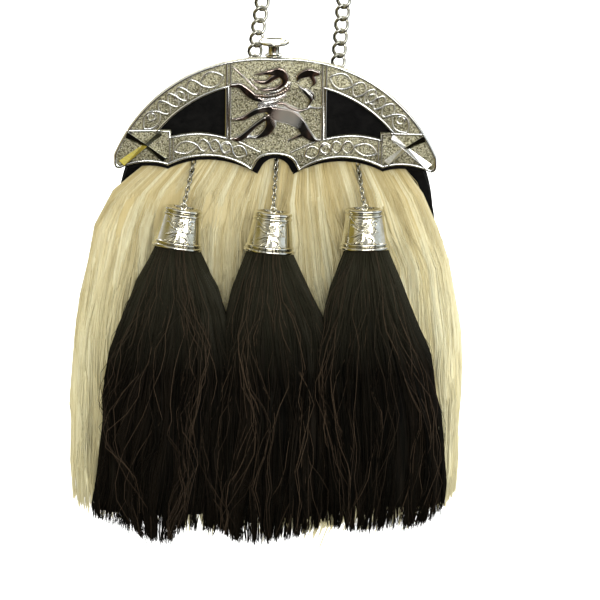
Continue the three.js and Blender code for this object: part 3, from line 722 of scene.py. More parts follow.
# The rampant lion as tapered strokes: x, z and width at each point.
lionStrokes = {
    "bar": [(-21.2, -4.8, 1.3), (-9.4, -15.6, 1.5)],
    "brow": [(-10.6, -8.2, 1.4), (-6, -7.4, 2.8), (-2, -6.9, 4.2), (1.8, -6.9, 5.8), (4.2, -9.6, 5),
             (3.6, -13, 3.2)],
    "jaw": [(-12.2, -10.6, 0.9), (-9, -11.8, 2.6), (-5, -12, 3.4), (-1.8, -9.8, 3.8), (1.4, -8, 3.8)],
    "throat": [(-9, -15.7, 1.4), (-5, -16, 2.6), (0, -15.2, 3), (3.2, -13, 3.2)],
    "mane": [(-10.4, -18.7, 1.8), (-4, -19.2, 3), (1.5, -18, 3.2), (5.6, -15.1, 2.8), (7, -12.4, 1.4)],
    "upperPaw": [(-22, -13.9, 3.2), (-17.6, -14.2, 4), (-12.2, -18.8, 4.8), (-7, -21.2, 3),
                 (0, -20.8, 1.6), (5, -18.8, 1.2)],
    "back": [(-9.2, -23.8, 1.6), (-2, -23.2, 2), (3.4, -22.8, 2.6), (7, -24.8, 2.6), (12, -26.2, 2.4),
             (17, -24.8, 1.8), (21.8, -24.8, 1.6)],
    "lowerPaw": [(-20.8, -31.4, 2.2), (-15.8, -30.4, 3.4), (-9.6, -26.8, 4.2), (-3, -25.4, 4.4)],
    "belly": [(-4, -26, 4), (1, -28.2, 7.6), (7, -29.6, 8), (12, -33, 6.6), (15, -37.6, 6),
              (18.6, -40.8, 4), (21.6, -41.2, 1.6)],
    "rearPaw": [(14.8, -37.4, 3.6), (11, -39.4, 2.8), (6.2, -41.6, 1.6)],
    "frontThigh": [(-3.6, -30, 4.6), (-2.6, -33.8, 6), (-5, -37.6, 5), (-9.2, -40, 2.8),
                   (-14.4, -40.6, 1.6)],
    "shin": [(-5.6, -30.6, 3.2), (-11, -34.8, 3.4), (-17.2, -40.6, 4.2), (-21.4, -41.4, 2)],
    "tail": [(15.6, -24.2, 1.8), (17.2, -20.4, 3), (14.6, -16.8, 3.2), (11.2, -13.6, 1.6)],
    "tailCurl": [(14.4, -14.8, 1.2), (18, -17.2, 2), (18.8, -20.6, 1.4)],
    "tuft": [(10.2, -11.4, 1.6), (11.8, -8.6, 4.2), (16, -7, 5.4), (20.2, -7.2, 3.6)],
    "tuftTip": [(17.4, -8.6, 3.6), (18.8, -11.4, 3.2), (17.4, -14, 1.4)],
}
# edge sets the width and strength of the rim mask that carries the painted highlight
lionRelief = {"height": 1.55, "shoulder": 1.15, "grid": 0.28, "ribPitch": 1.3, "ribDepth": 0.35,
              "edge": (0.6, 1.35)}


def smoothStroke(points, count):
    # a Catmull-Rom line through the stroke's points
    rows = np.array(points, float)
    padded = np.concatenate([[2 * rows[0] - rows[1]], rows, [2 * rows[-1] - rows[-2]]])
    out = []
    for i in range(len(rows) - 1):
        p0, p1, p2, p3 = padded[i:i + 4]
        for t in np.linspace(0, 1, count, endpoint=False):
            out.append(0.5 * (2 * p1 + (p2 - p0) * t + (2 * p0 - 5 * p1 + 4 * p2 - p3) * t ** 2
                              + (3 * p1 - p0 - 3 * p2 + p3) * t ** 3))
    out.append(rows[-1])
    return np.array(out)


def strokeDepth(x, z, stroke):
    # how deep each point lies inside a tapered stroke, and how far along it
    depth = np.full(x.shape, -1e3)
    along = np.zeros(x.shape)
    reached = 0.0
    for (ax, az, aw), (bx, bz, bw) in zip(stroke[:-1], stroke[1:]):
        dx, dz = bx - ax, bz - az
        length = math.hypot(dx, dz)
        t = np.clip(((x - ax) * dx + (z - az) * dz) / length ** 2, 0, 1)
        distance = np.hypot(x - ax - dx * t, z - az - dz * t)
        inside = (aw + (bw - aw) * t) / 2 - distance
        better = inside > depth
        along = np.where(better, reached + t * length, along)
        depth = np.where(better, inside, depth)
        reached += length
    return depth, along


def lionField(x, z):
    depth = np.full(x.shape, -1e3)
    ribs = np.zeros(x.shape)
    for name, rows in lionStrokes.items():
        inside, along = strokeDepth(x, z, smoothStroke(rows, 5))
        soft = 0.15
        share = np.clip(0.5 + 0.5 * (inside - depth) / soft, 0, 1)
        depth = depth + (inside - depth) * share + soft * share * (1 - share)
        if name == "mane":
            ribs = np.where(inside > 0, np.cos(2 * np.pi * along / lionRelief["ribPitch"]), ribs)
    return depth, ribs


def reliefHeight(depth, ribs, height, shoulder):
    rise = 1 - (1 - np.clip(depth / shoulder, 0, 1)) ** 2
    proud = height * rise + lionRelief["ribDepth"] * ribs * np.clip(depth, 0, 0.6)
    return np.where(depth > 0, proud, np.maximum(depth * 2, -0.4))


def reliefPiece(name, depth, toPlace, material):
    # a closed sheet over the cells that the relief touches; toPlace turns a cell corner into a point
    keep = np.maximum.reduce([depth[:-1, :-1], depth[1:, :-1], depth[:-1, 1:], depth[1:, 1:]]) > -0.12
    index = np.arange(depth.size).reshape(depth.shape)
    quads = np.stack([index[:-1, :-1], index[1:, :-1], index[1:, 1:], index[:-1, 1:]], axis=-1)[keep]
    used, compact = np.unique(quads, return_inverse=True)
    quads = compact.reshape(-1, 4)
    front, back = toPlace(used)
    points = np.concatenate([front, back])
    shift = len(front)
    edges = {}
    for quad in quads:
        for k in range(4):
            a, b = int(quad[k]), int(quad[(k + 1) % 4])
            if (b, a) in edges:
                del edges[(b, a)]
            else:
                edges[(a, b)] = True
    faces = quads.tolist() + (quads[:, ::-1] + shift).tolist()
    faces += [[b, a, a + shift, b + shift] for a, b in edges]
    mesh = plainMesh(name, points, faces=faces)
    outward(mesh)
    # the edge attribute: strongest at each shape's rim, where the lion's material paints a highlight
    edgeWidth, edgeSharp = lionRelief["edge"]
    toneMix = np.clip(edgeSharp - np.clip(depth.ravel()[used], 0, None) / edgeWidth, 0, 1)
    storeValues(mesh, "edge", np.concatenate([toneMix, toneMix]))
    return makeObject(name, mesh, material)


def makeLion():
    step = lionRelief["grid"]
    x, z = np.meshgrid(np.arange(-23.4, 23.5, step), np.arange(-44.6, -3.0, step), indexing="ij")
    depth, ribs = lionField(x, z)
    height = reliefHeight(depth, ribs, lionRelief["height"], lionRelief["shoulder"])
    ground = cantleSizes["groundY"]

    def toPlace(used):
        flatX, flatZ, rise = x.ravel()[used], z.ravel()[used], height.ravel()[used]
        front = np.stack([flatX, ground - rise, flatZ], axis=1)
        back = np.stack([flatX, np.full(len(used), ground + 0.7), flatZ], axis=1)
        return front, back

    return reliefPiece("cantleLion", depth, toPlace, lionMetal)


# ---------- geometry node helpers ----------

def newGeometryTree(name, inputs):
    inputs = [("Geometry", geometryKind), *inputs, ("Material", materialKind)]
    return newTree(name, "GeometryNodeTree", inputs, [("Geometry", geometryKind)])


def endTree(tree, geometry, entry, leaving):
    realize = addNode(tree, "GeometryNodeRealizeInstances", {0: geometry})
    paint = addNode(tree, "GeometryNodeSetMaterial", {
        "Geometry": realize.outputs[0], "Material": entry.outputs["Material"]})
    link(tree, paint.outputs[0], leaving.inputs[0])
    return tree


def runTree(name, source, tree, values, material):
    # gives the tree its inputs by identifier, and keeps the plain mesh that it makes
    modifier = source.modifiers.new(tree.name, "NODES")
    modifier.node_group = tree
    values = {**values, "Material": material}
    for item in tree.interface.items_tree:
        if item.item_type == "SOCKET" and item.in_out == "INPUT" and item.name in values:
            modifier[item.identifier] = values[item.name]
    piece = evaluatedCopy(name, source)
    if not piece.data.materials:
        piece.data.materials.append(material)
    return piece


def makeGrainTree():
    # small sand-cast beads scattered over the faces that look to the front
    tree, entry, leaving = newGeometryTree("castGrains", [
        ("Spacing", floatKind, 0.0008), ("Size", floatKind, 0.0006), ("Seed", integerKind, 3)])
    normal = addNode(tree, "GeometryNodeInputNormal")
    split = addNode(tree, "ShaderNodeSeparateXYZ", {0: normal.outputs[0]})
    frontal = addNode(tree, "FunctionNodeCompare", {0: split.outputs["Y"], 1: -0.99},
                      operation="LESS_THAN")
    scatter = addNode(tree, "GeometryNodeDistributePointsOnFaces", distribute_method="POISSON", inputs={
        "Mesh": entry.outputs["Geometry"], "Selection": frontal.outputs[0], "Density Max": 4e6,
        "Distance Min": entry.outputs["Spacing"], "Seed": entry.outputs["Seed"]})
    radius = mathNode(tree, "MULTIPLY", entry.outputs["Size"], 0.5)
    bead = addNode(tree, "GeometryNodeMeshIcoSphere", {"Subdivisions": 1, "Radius": radius})
    spread = addNode(tree, "FunctionNodeRandomValue", {2: 0.55, 3: 1.15}, data_type="FLOAT")
    turn = addNode(tree, "FunctionNodeRandomValue", {1: (6.28, 6.28, 6.28)}, data_type="FLOAT_VECTOR")
    place = addNode(tree, "GeometryNodeInstanceOnPoints", {
        "Points": scatter.outputs["Points"], "Instance": bead.outputs["Mesh"],
        "Rotation": turn.outputs[0], "Scale": spread.outputs[1]})
    return endTree(tree, place.outputs[0], entry, leaving)


def makeGrains(plate):
    source = addObject("grainSource", plate.data.copy())
    values = {"Spacing": cantleSizes["grainSpacing"] * mm, "Size": cantleSizes["grainSize"] * mm,
              "Seed": 3}
    return runTree("cantleGrains", source, makeGrainTree(), values, cantleMetal)


plate = makePlate()
keepPiece(plate, "cantle_metal", "cantle")
for piece in (makeRims(), makeSaltires(), makeKnots(), makeLion(), makeGrains(plate)):
    keepPiece(piece, "cantle_metal")
print("cantle made")


# ---------- leather ----------

pouchSizes = {
    "archRadius": 79.8, "halfWidth": 81.2, "shoulderZ": -96.0, "bottomZ": -168.0, "cornerRadius": 40.0,
    "mouthZ": -64.0, "wall": 1.9, "edgeInset": 0.4, "frontY": (1.5, 3.5), "gussetY": (3.8, 25.9),
    "backY": (26.2, 28.2), "stitchPitch": 3.4, "stitchInset": 4.0,
    # the gusset's pleat up to its middle: share of its width, and how far it folds in
    "fold": [(0, 0), (0.12, 0.4), (0.25, 1.5), (0.38, 2.6), (0.5, 3.2)],
}


def pouchOutline(inset):
    # clockwise from the left shoulder, over the arch and round the bottom
    radius = pouchSizes["archRadius"] - inset
    side = pouchSizes["halfWidth"] - inset
    corner = pouchSizes["cornerRadius"] - inset
    shoulder = pouchSizes["shoulderZ"]
    angles = np.radians(np.linspace(176, 4, 80))
    arch = np.stack([radius * np.cos(angles), arcCentreZ + radius * np.sin(angles)], axis=1)
    t = np.linspace(0, 1, 8)[1:, None]
    start, bend, end = arch[-1], np.array([side, shoulder + 6]), np.array([side, shoulder - 6])
    right = (1 - t) ** 2 * start + 2 * (1 - t) * t * bend + t ** 2 * end
    turn = np.radians(np.linspace(0, -90, 24))
    centre = np.array([side - corner, pouchSizes["bottomZ"] + inset + corner])
    rightCorner = centre + corner * np.stack([np.cos(turn), np.sin(turn)], axis=1)
    half = np.concatenate([right, rightCorner])
    return np.concatenate([arch, half, half[::-1] * [-1, 1]])


def alongLoop(loop, count):
    # the loop's points spread evenly along its length
    closed = np.concatenate([loop, loop[:1]])
    steps = np.concatenate([[0], np.cumsum(np.linalg.norm(np.diff(closed, axis=0), axis=1))])
    places = np.linspace(0, steps[-1], count, endpoint=False)
    return np.stack([np.interp(places, steps, closed[:, k]) for k in range(loop.shape[1])], axis=1)


def makeGusset():
    fold = np.array(pouchSizes["fold"])
    fold = np.concatenate([fold, (fold[:-1] * [-1, 1] + [1, 0])[::-1]])
    loop = alongLoop(pouchOutline(pouchSizes["edgeInset"]), 300)
    right = loop[(loop[:, 0] > 0) & (loop[:, 1] < pouchSizes["mouthZ"])]
    right = right[np.argsort(-right[:, 1] + right[:, 0] * -1e-3)]
    order = np.argsort(np.arctan2(right[:, 0], right[:, 1] + 100))
    right = right[order]
    path = np.concatenate([right, right[::-1] * [-1, 1]])
    along = np.gradient(path, axis=0)
    along /= np.linalg.norm(along, axis=1)[:, None]
    inward = np.stack([along[:, 1], -along[:, 0]], axis=1)
    facing = np.sum(inward * (np.array([0, -110]) - path), axis=1)
    inward *= np.where(facing < 0, -1, 1)[:, None]
    front, back = pouchSizes["gussetY"]
    y = front + (back - front) * fold[:, 0]
    wave = 0.35 * np.sin(np.arange(len(path)) * 0.21) + 0.25 * np.sin(np.arange(len(path)) * 0.083 + 1)
    rings = []
    for point, normal, shift in zip(path, inward, wave):
        deep = fold[:, 1] * (1 + 0.25 * shift)
        skin = []
        for wall in (0.0, pouchSizes["wall"]):
            offset = point + normal * (deep + wall)[:, None]
            row = np.stack([offset[:, 0], y, offset[:, 1]], axis=1)
            skin.append(row if wall == 0 else row[::-1])
        rings.append(np.concatenate(skin))
    mesh = ringMesh("pouchGusset", rings)
    piece = makeObject("pouchGusset", mesh, blackLeather)
    smoothByAngle(piece, 50)
    return piece


def makeStitchTree():
    # one short stitch at every step of a seam line, laid along it
    tree, entry, leaving = newGeometryTree("saddleStitch", [
        ("Pitch", floatKind, 0.0034), ("Length", floatKind, 0.0024), ("Thickness", floatKind, 0.0007)])
    given = entry.outputs
    seam = addNode(tree, "GeometryNodeMeshToCurve", {0: given["Geometry"]})
    spots = addNode(tree, "GeometryNodeCurveToPoints", mode="LENGTH", inputs={
        "Curve": seam.outputs[0], "Length": given["Pitch"]})
    align = addNode(tree, "FunctionNodeAlignRotationToVector", {"Vector": spots.outputs["Tangent"]},
                    axis="Z")
    stitch = addNode(tree, "GeometryNodeMeshUVSphere", {"Segments": 6, "Rings": 5, "Radius": 0.5})
    size = addNode(tree, "ShaderNodeCombineXYZ", {
        "X": given["Thickness"], "Y": given["Thickness"], "Z": given["Length"]})
    place = addNode(tree, "GeometryNodeInstanceOnPoints", {
        "Points": spots.outputs["Points"], "Instance": stitch.outputs["Mesh"],
        "Rotation": align.outputs[0], "Scale": size.outputs[0]})
    return endTree(tree, place.outputs[0], entry, leaving)


def seamSource(name, points):
    edges = [(i, (i + 1) % len(points)) for i in range(len(points))]
    return addObject(name, plainMesh(name, points, edges))


def makeLeatherPieces():
    outline = cantleOutline(0.8, cantleSizes["backingDrop"], cantleSizes["backingTip"])
    backing = flatPlate("cantleBacking", [outline], -2.7, -0.7, 0.6, blackLeather)
    keepPiece(backing, "black_leather", "cantle_backing")
    for side in ("front", "back"):
        depths = pouchSizes[f"{side}Y"]
        piece = flatPlate(f"pouch{side.title()}", [pouchOutline(0)], *depths, 0.7, blackLeather)
        keepPiece(piece, "black_leather", f"pouch_{side}")
    keepPiece(makeGusset(), "black_leather", "pouch_gusset")
    values = {"Pitch": pouchSizes["stitchPitch"] * mm, "Length": 2.5 * mm, "Thickness": 0.75 * mm}
    loop = alongLoop(pouchOutline(pouchSizes["stitchInset"]), 400)
    seam = seamSource("backSeam", atDepth(loop, pouchSizes["backY"][1] + 0.05))
    keepPiece(runTree("pouchStitches", seam, makeStitchTree(), values, waxedThread), "black_leather")


makeLeatherPieces()
print("leather made")


# ---------- knob, cones and chains ----------

def turnedMesh(name, profile, segments, turn, centre):
    # a closed turned piece; the profile starts and ends close to the axis
    angles = np.linspace(0, 2 * np.pi, segments, endpoint=False)
    rings = np.array([[(r * np.cos(a), r * np.sin(a), z) for a in angles] for r, z in profile])
    return ringMesh(name, rings @ turn.T + np.array(centre))


knob = {
    "base": (-1.4, -1.8, 0.3),
    # radius and height from the foot, up the stem and over the ring into its dish
    "profile": [(0.01, 0), (4.0, 0), (4.3, 0.25), (4.3, 0.7), (4.0, 0.95), (3.0, 1.15), (2.75, 1.6),
                (2.7, 5.3), (3.0, 5.7), (5.4, 6.05), (6.9, 6.35), (7.5, 6.75), (7.7, 7.3), (7.55, 7.8),
                (7.1, 8.15), (6.5, 8.2), (6.0, 8.0), (5.6, 7.5), (5.0, 7.15), (3.8, 6.95), (2.0, 6.85),
                (0.01, 6.82)],
}


def makeKnob():
    mesh = turnedMesh("knobButton", knob["profile"], 56, np.eye(3), knob["base"])
    piece = makeObject("knobButton", mesh, coneChrome)
    smoothByAngle(piece, 60)
    return keepPiece(piece, "polished_chrome", "knob")


cone = {"height": 20.0, "topRadius": 8.9, "bottomRadius": 12.2, "wall": 1.1, "lean": 9.0, "y": -16.6,
        "lionScale": 0.33, "lionHeight": 0.75}
# Each tassel: where its chain leaves the leather, its cone's top, and the cone's tilt in degrees.
tassels = {
    "left": {"start": (-40.5, -55.2), "top": (-45.3, -74.2), "tilt": 9.0},
    "middle": {"start": (0.6, -53.0), "top": (-0.8, -75.6), "tilt": 5.4},
    "right": {"start": (41.0, -55.2), "top": (44.6, -73.4), "tilt": -0.8},
}


def coneTurn(tilt):
    sideways = Matrix.Rotation(math.radians(tilt), 3, "Y")
    return np.array(sideways @ Matrix.Rotation(math.radians(-cone["lean"]), 3, "X"))


def coneRadius(z):
    return cone["topRadius"] + (cone["bottomRadius"] - cone["topRadius"]) * (-z / cone["height"])


def beadRow(z, half, proud):
    turns = np.linspace(np.pi / 2, -np.pi / 2, 7)
    return [(coneRadius(z) + proud * math.cos(a), z + half * math.sin(a)) for a in turns]


def makeCone(side, row):
    height, wall = cone["height"], cone["wall"]
    topRadius = cone["topRadius"]
    profile = [(0.01, -0.5), (topRadius - 1.6, -0.5), (topRadius - 1.1, 0.1)]
    profile += beadRow(-0.9, 0.95, 0.65) + beadRow(-3.1, 0.75, 0.5)
    profile += [(coneRadius(-4.3), -4.3), (coneRadius(3.9 - height), 3.9 - height)]
    profile += beadRow(2.9 - height, 0.75, 0.5) + beadRow(0.9 - height, 0.9, 0.7)
    profile += [(cone["bottomRadius"] - wall, -height), (topRadius - wall, -wall * 2),
                (0.01, -wall * 2)]
    turn = coneTurn(row["tilt"])
    top = np.array([row["top"][0], cone["y"], row["top"][1]])
    piece = makeObject(f"cone{side.title()}", turnedMesh("cone", profile, 72, turn, top), coneChrome)
    smoothByAngle(piece, 50)
    keepPiece(piece, "polished_chrome", f"tassel_cone_{side}")
    scale, step = cone["lionScale"], 0.62
    x, z = np.meshgrid(np.arange(-24, 24.1, step), np.arange(-46, -3.0, step), indexing="ij")
    depth, ribs = lionField(x, z)
    rise = reliefHeight(depth + 0.25, ribs, cone["lionHeight"], 1.6)

    def toPlace(used):
        height = (z.ravel()[used] + 24.0) * scale - cone["height"] * 0.52
        radius = coneRadius(height)
        angle = x.ravel()[used] * scale / radius
        sets = []
        for lift in (rise.ravel()[used], np.full(len(used), -0.5)):
            reach = radius + lift
            local = np.stack([reach * np.sin(angle), -reach * np.cos(angle), height], axis=1)
            sets.append(local @ turn.T + top)
        return sets

    emblem = reliefPiece(f"coneEmblem{side.title()}", depth, toPlace, coneChrome)
    keepPiece(emblem, "polished_chrome")
    ringAngles = np.linspace(0, 2 * np.pi, 20, endpoint=False)
    eye = np.stack([1.5 * np.cos(ringAngles), np.zeros(20), 1.5 * np.sin(ringAngles) + 0.9], axis=1)
    ring = roundTube(f"coneEye{side.title()}", eye @ turn.T + top, 0.8, coneChrome, True)
    keepPiece(ring, "polished_chrome")


def makeLinkTree():
    # a wire link on every point, turned by the point's own rotation; a twist makes it a curb link
    tree, entry, leaving = newGeometryTree("chainLinks", [
        ("Half Length", floatKind, 0.0039), ("Half Width", floatKind, 0.00315),
        ("Wire", floatKind, 0.0015), ("Twist", floatKind, 0.8),
        ("Steps", integerKind, 14), ("Wire Sides", integerKind, 6)])
    given = entry.outputs
    loop = addNode(tree, "GeometryNodeCurvePrimitiveCircle", {"Resolution": given["Steps"]})
    share = addNode(tree, "GeometryNodeSplineParameter").outputs["Factor"]
    angle = mathNode(tree, "MULTIPLY", share, 2 * math.pi)
    along, across = mathNode(tree, "COSINE", angle), mathNode(tree, "SINE", angle)
    turn = mathNode(tree, "MULTIPLY", along, given["Twist"])
    wide = mathNode(tree, "MULTIPLY", across, given["Half Width"])
    point = addNode(tree, "ShaderNodeCombineXYZ", {
        "X": mathNode(tree, "MULTIPLY", wide, mathNode(tree, "COSINE", turn)),
        "Y": mathNode(tree, "MULTIPLY", wide, mathNode(tree, "SINE", turn)),
        "Z": mathNode(tree, "MULTIPLY", along, given["Half Length"])})
    bend = addNode(tree, "GeometryNodeSetPosition", {
        "Geometry": loop.outputs[0], "Position": point.outputs[0]})
    section = addNode(tree, "GeometryNodeCurvePrimitiveCircle", {
        "Resolution": given["Wire Sides"], "Radius": mathNode(tree, "MULTIPLY", given["Wire"], 0.5)})
    wire = addNode(tree, "GeometryNodeCurveToMesh", {
        "Curve": bend.outputs[0], "Profile Curve": section.outputs[0]})
    turns = addNode(tree, "GeometryNodeInputNamedAttribute", {"Name": "linkTurn"},
                    data_type="FLOAT_VECTOR")
    place = addNode(tree, "GeometryNodeInstanceOnPoints", {
        "Points": given["Geometry"], "Instance": wire.outputs[0],
        "Rotation": turns.outputs["Attribute"]})
    return endTree(tree, place.outputs[0], entry, leaving)


linkTree = makeLinkTree()


def linkPoints(route, pitch, turnAt):
    # link centres a pitch apart along a route, each with its rotation
    # turnAt gives a link's turn about the thread from its number and the count
    steps = np.concatenate([[0], np.cumsum(np.linalg.norm(np.diff(route, axis=0), axis=1))])
    count = max(2, round(steps[-1] / pitch))
    places = (np.arange(count) + 0.5) / count * steps[-1]

    def pointsAt(at):
        return np.stack([np.interp(at, steps, route[:, k]) for k in range(3)], axis=1)

    ahead, behind = pointsAt(places + 0.4 * pitch), pointsAt(places - 0.4 * pitch)
    turns = []
    for i in range(count):
        zAxis = Vector(ahead[i] - behind[i]).normalized()
        yAxis = Vector((0, 1, 0))
        xAxis = yAxis.cross(zAxis).normalized()
        yAxis = zAxis.cross(xAxis)
        basis = Matrix((xAxis, yAxis, zAxis)).transposed()
        spin = Matrix.Rotation(turnAt(i, count), 3, "Z")
        turns.append(tuple((basis @ spin).to_euler()))
    return pointsAt(places), turns


def chainPiece(name, chain, route, turnAt):
    centres, turns = linkPoints(route, chain["pitch"], turnAt)
    mesh = plainMesh(name, centres)
    storeValues(mesh, "linkTurn", turns, "FLOAT_VECTOR")
    values = {"Half Length": (chain["pitch"] + chain["wire"] * chain["overlap"]) / 2 * mm,
              "Half Width": chain["halfWidth"] * mm, "Wire": chain["wire"] * mm,
              "Twist": chain["twist"], "Steps": chain["steps"], "Wire Sides": 6}
    piece = runTree(name, addObject(name + "Points", mesh), linkTree, values, chainMetal)
    outward(piece.data)
    print(name, "links", len(centres))
    return piece


waistChain = {"pitch": 6.3, "wire": 1.7, "overlap": 1.0, "halfWidth": 3.15, "twist": 0.8, "steps": 14,
              "y": 8.2, "bendRadius": 9.0, "hangHeight": 385.0, "hangSide": 48.0, "thick": 2.6,
              "hangers": [(-12, -8.9), (30, -13.9)]}


def makeWaistChain():
    radius = waistChain["bendRadius"]
    centre = (waistChain["hangSide"], waistChain["hangHeight"] + waistChain["thick"] / 2 - radius)
    angles = np.linspace(np.pi, 0, 25)
    bend = [(centre[0] + radius * math.cos(a), centre[1] + radius * math.sin(a)) for a in angles]
    (leftX, leftZ), (rightX, rightZ) = waistChain["hangers"]
    flat = np.array([(leftX, leftZ), *bend, (rightX, rightZ)])
    route = np.stack([flat[:, 0], np.full(len(flat), waistChain["y"]), flat[:, 1]], axis=1)

    def turnAt(i, n):
        return math.pi / 2 * min(1, 2.05 * min(i, n - 1 - i) / n)

    piece = chainPiece("waistChain", waistChain, route, turnAt)
    keepPiece(piece, "chain_metal", "waist_chain_left", "waist_chain_top", "waist_chain_right")


tasselChain = {"pitch": 2.5, "wire": 0.72, "overlap": 1.5, "halfWidth": 1.05, "twist": 0.0, "steps": 12}


def makeTasselChain(side, row):
    start = np.array([row["start"][0], -1.6, row["start"][1] + 1.5])
    end = np.array([row["top"][0], cone["y"] + 0.2, row["top"][1] + 1.2])
    t = np.linspace(0, 1, 12)[:, None]
    sag = np.array([0, -1.2, -0.8]) * np.sin(np.pi * t)
    route = start + (end - start) * t + sag
    name = f"tasselChain{side.title()}"
    piece = chainPiece(name, tasselChain, route, lambda i, n: math.pi / 2 * (i % 2) + 0.5)
    keepPiece(piece, "chain_metal", f"tassel_chain_{side}")


makeKnob()
makeWaistChain()
for side, row in tassels.items():
    makeCone(side, row)
    makeTasselChain(side, row)
for node in ("chain_hanger_left", "chain_hanger_right"):
    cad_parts[node].data.materials.clear()
    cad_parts[node].data.materials.append(chainMetal)
print("metalwork made")


# ---------- hair ----------

# Outline of the pale hair by height: left and right edge, front and back.
paleRows = {
    "z": [-47, -56, -61, -67, -74, -82, -94, -110, -136, -158, -170, -188, -205, -228, -238, -246],
    "left": [-56, -63, -71, -78, -84, -88.2, -91.4, -93.8, -98.2, -101, -101.6, -101.8, -101.8, -101.8,
             -100.4, -96],
    "right": [56, 64, 69, 72.4, 76, 80, 84.4, 89, 93.6, 94.8, 95, 94.8, 94.6, 94, 90, 84],
    "front": [-0.2, -0.4, -1.2, -3.2, -4.6, -5.6, -6.2, -8.4, -12.2, -15, -16, -16.2, -16.2, -16.2,
              -15, -13],
    "back": [1.1, 1.1, 1.1, 1.1, 1.1, 1.1, 1.1, 1.1, 1.1, 1.1, 1.1, 12, 15, 15, 14, 12],
}
# Where the pale hair ends, by its place across, from -1 at the left to 1 at the right.
paleEnds = {"u": [-1, -0.95, -0.88, -0.5, 0.15, 0.3, 0.5, 0.85, 1],
            "z": [-226, -233, -236, -238, -242, -242, -239, -233, -225]}
tasselRows = {
    "left": {
        "z": [-88, -97, -110, -128, -150, -190, -226, -238, -246],
        "left": [-56.2, -60.2, -67.4, -75, -81.4, -86, -90, -88, -82],
        "right": [-40.4, -38.2, -29.6, -22.4, -18.6, -19, -21, -22, -24],
        "endU": [-1, -0.8, -0.45, -0.17, 0.1, 0.38, 0.65, 1],
        "endZ": [-229, -232, -236, -239, -240.5, -233, -235, -238],
    },
    "middle": {
        "z": [-90, -98, -112, -128, -146, -190, -228, -240, -248],
        "left": [-11.4, -14.8, -20, -25, -28, -28, -27, -26, -25],
        "right": [6.2, 9.4, 16.6, 25, 29.4, 29, 27.6, 26, 23],
        "endU": [-1, -0.3, 0.22, 0.5, 1], "endZ": [-237, -240.5, -238, -235, -231],
    },
    "right": {
        "z": [-87, -96, -108, -124, -148, -180, -212, -228, -242],
        "left": [37.6, 34.8, 28.6, 24.4, 22, 23, 24.6, 25.4, 27],
        "right": [53.4, 57, 62.8, 69, 79, 84.6, 88, 87, 82],
        "endU": [-1, -0.6, 0, 0.25, 0.55, 0.7, 0.85, 1],
        "endZ": [-232, -233, -232.5, -232, -231, -229, -226, -221],
    },
}
tasselDepth = {"z": [-88, -97, -110, -128, -150, -180, -250],
               "front": [-29, -31.5, -34.5, -38, -40, -41.5, -41.5],
               "back": [-9, -8, -9.5, -12.4, -15.2, -16.7, -16.7]}
# How many locks the hairs gather into.
hairClumps = {"pale": 58, "tassel": 26}


def readRows(rows, column, z, key="z"):
    # the tables run downwards, so both lists are turned round for interp
    return np.interp(z, rows[key][::-1], rows[column][::-1])


def softWave(a, b, seed, count=6):
    # smooth noise over two numbers, about -1 to 1
    random = np.random.default_rng(seed)
    total = np.zeros(np.broadcast(a, b).shape)
    for _ in range(count):
        fa, fb = random.normal(0, 1, 2)
        total += np.sin(fa * a + fb * b + random.uniform(0, 6.28)) / math.sqrt(count / 2)
    return total


def sectionPoint(rows, depthRows, u, v, z, power=2.5):
    # u runs across and v from the front (-1) to the back (1); both bend round the section's edge
    left, right = readRows(rows, "left", z), readRows(rows, "right", z)
    front, back = readRows(depthRows, "front", z), readRows(depthRows, "back", z)
    room = (1 - np.clip(np.abs(u), 0, 1) ** power) ** (1 / power)
    x = (left + right) / 2 + u * (right - left) / 2
    y = (front + back) / 2 + v * room * (back - front) / 2
    return x, y


def strandMesh(name, paths, widths, kind, tone, along, material):
    # closed tapered hairs: paths is hairs by points by 3, in millimetres
    count, steps = paths.shape[:2]
    sides, flatness = kind["sides"], kind["flatness"]
    tangent = np.gradient(paths, axis=1)
    tangent /= np.linalg.norm(tangent, axis=2, keepdims=True) + 1e-9
    across = np.cross(tangent, np.array([0.0, -1.0, 0.0]))
    across /= np.linalg.norm(across, axis=2, keepdims=True) + 1e-9
    lifted = np.cross(tangent, across)
    angles = 2 * np.pi * (np.arange(sides) + 0.5) / sides
    wide = np.cos(angles)[None, None, :, None] * widths[:, :, None, None] / 2
    thick = np.sin(angles)[None, None, :, None] * widths[:, :, None, None] / 2 * flatness
    points = paths[:, :, None, :] + across[:, :, None, :] * wide + lifted[:, :, None, :] * thick
    i, j, s = np.meshgrid(np.arange(count), np.arange(steps - 1), np.arange(sides), indexing="ij")
    a = (i * steps + j) * sides + s
    b = (i * steps + j) * sides + (s + 1) % sides
    quads = np.stack([a, b, b + sides, a + sides], axis=-1).reshape(-1, 4)
    first = (np.arange(count) * steps * sides)[:, None]
    startCaps = first + np.arange(sides)[::-1]
    endCaps = first + (steps - 1) * sides + np.arange(sides)
    corners = np.concatenate([quads.ravel(), startCaps.ravel(), endCaps.ravel()])
    sizes = np.concatenate([np.full(len(quads), 4), np.full(2 * count, sides)])
    mesh = meshFromFaces(name, placed(points.reshape(-1, 3)), corners, sizes)
    storeValues(mesh, "tone", np.repeat(tone, steps * sides))
    storeValues(mesh, "along", np.repeat(along.ravel(), sides))
    return makeObject(name, mesh, material)


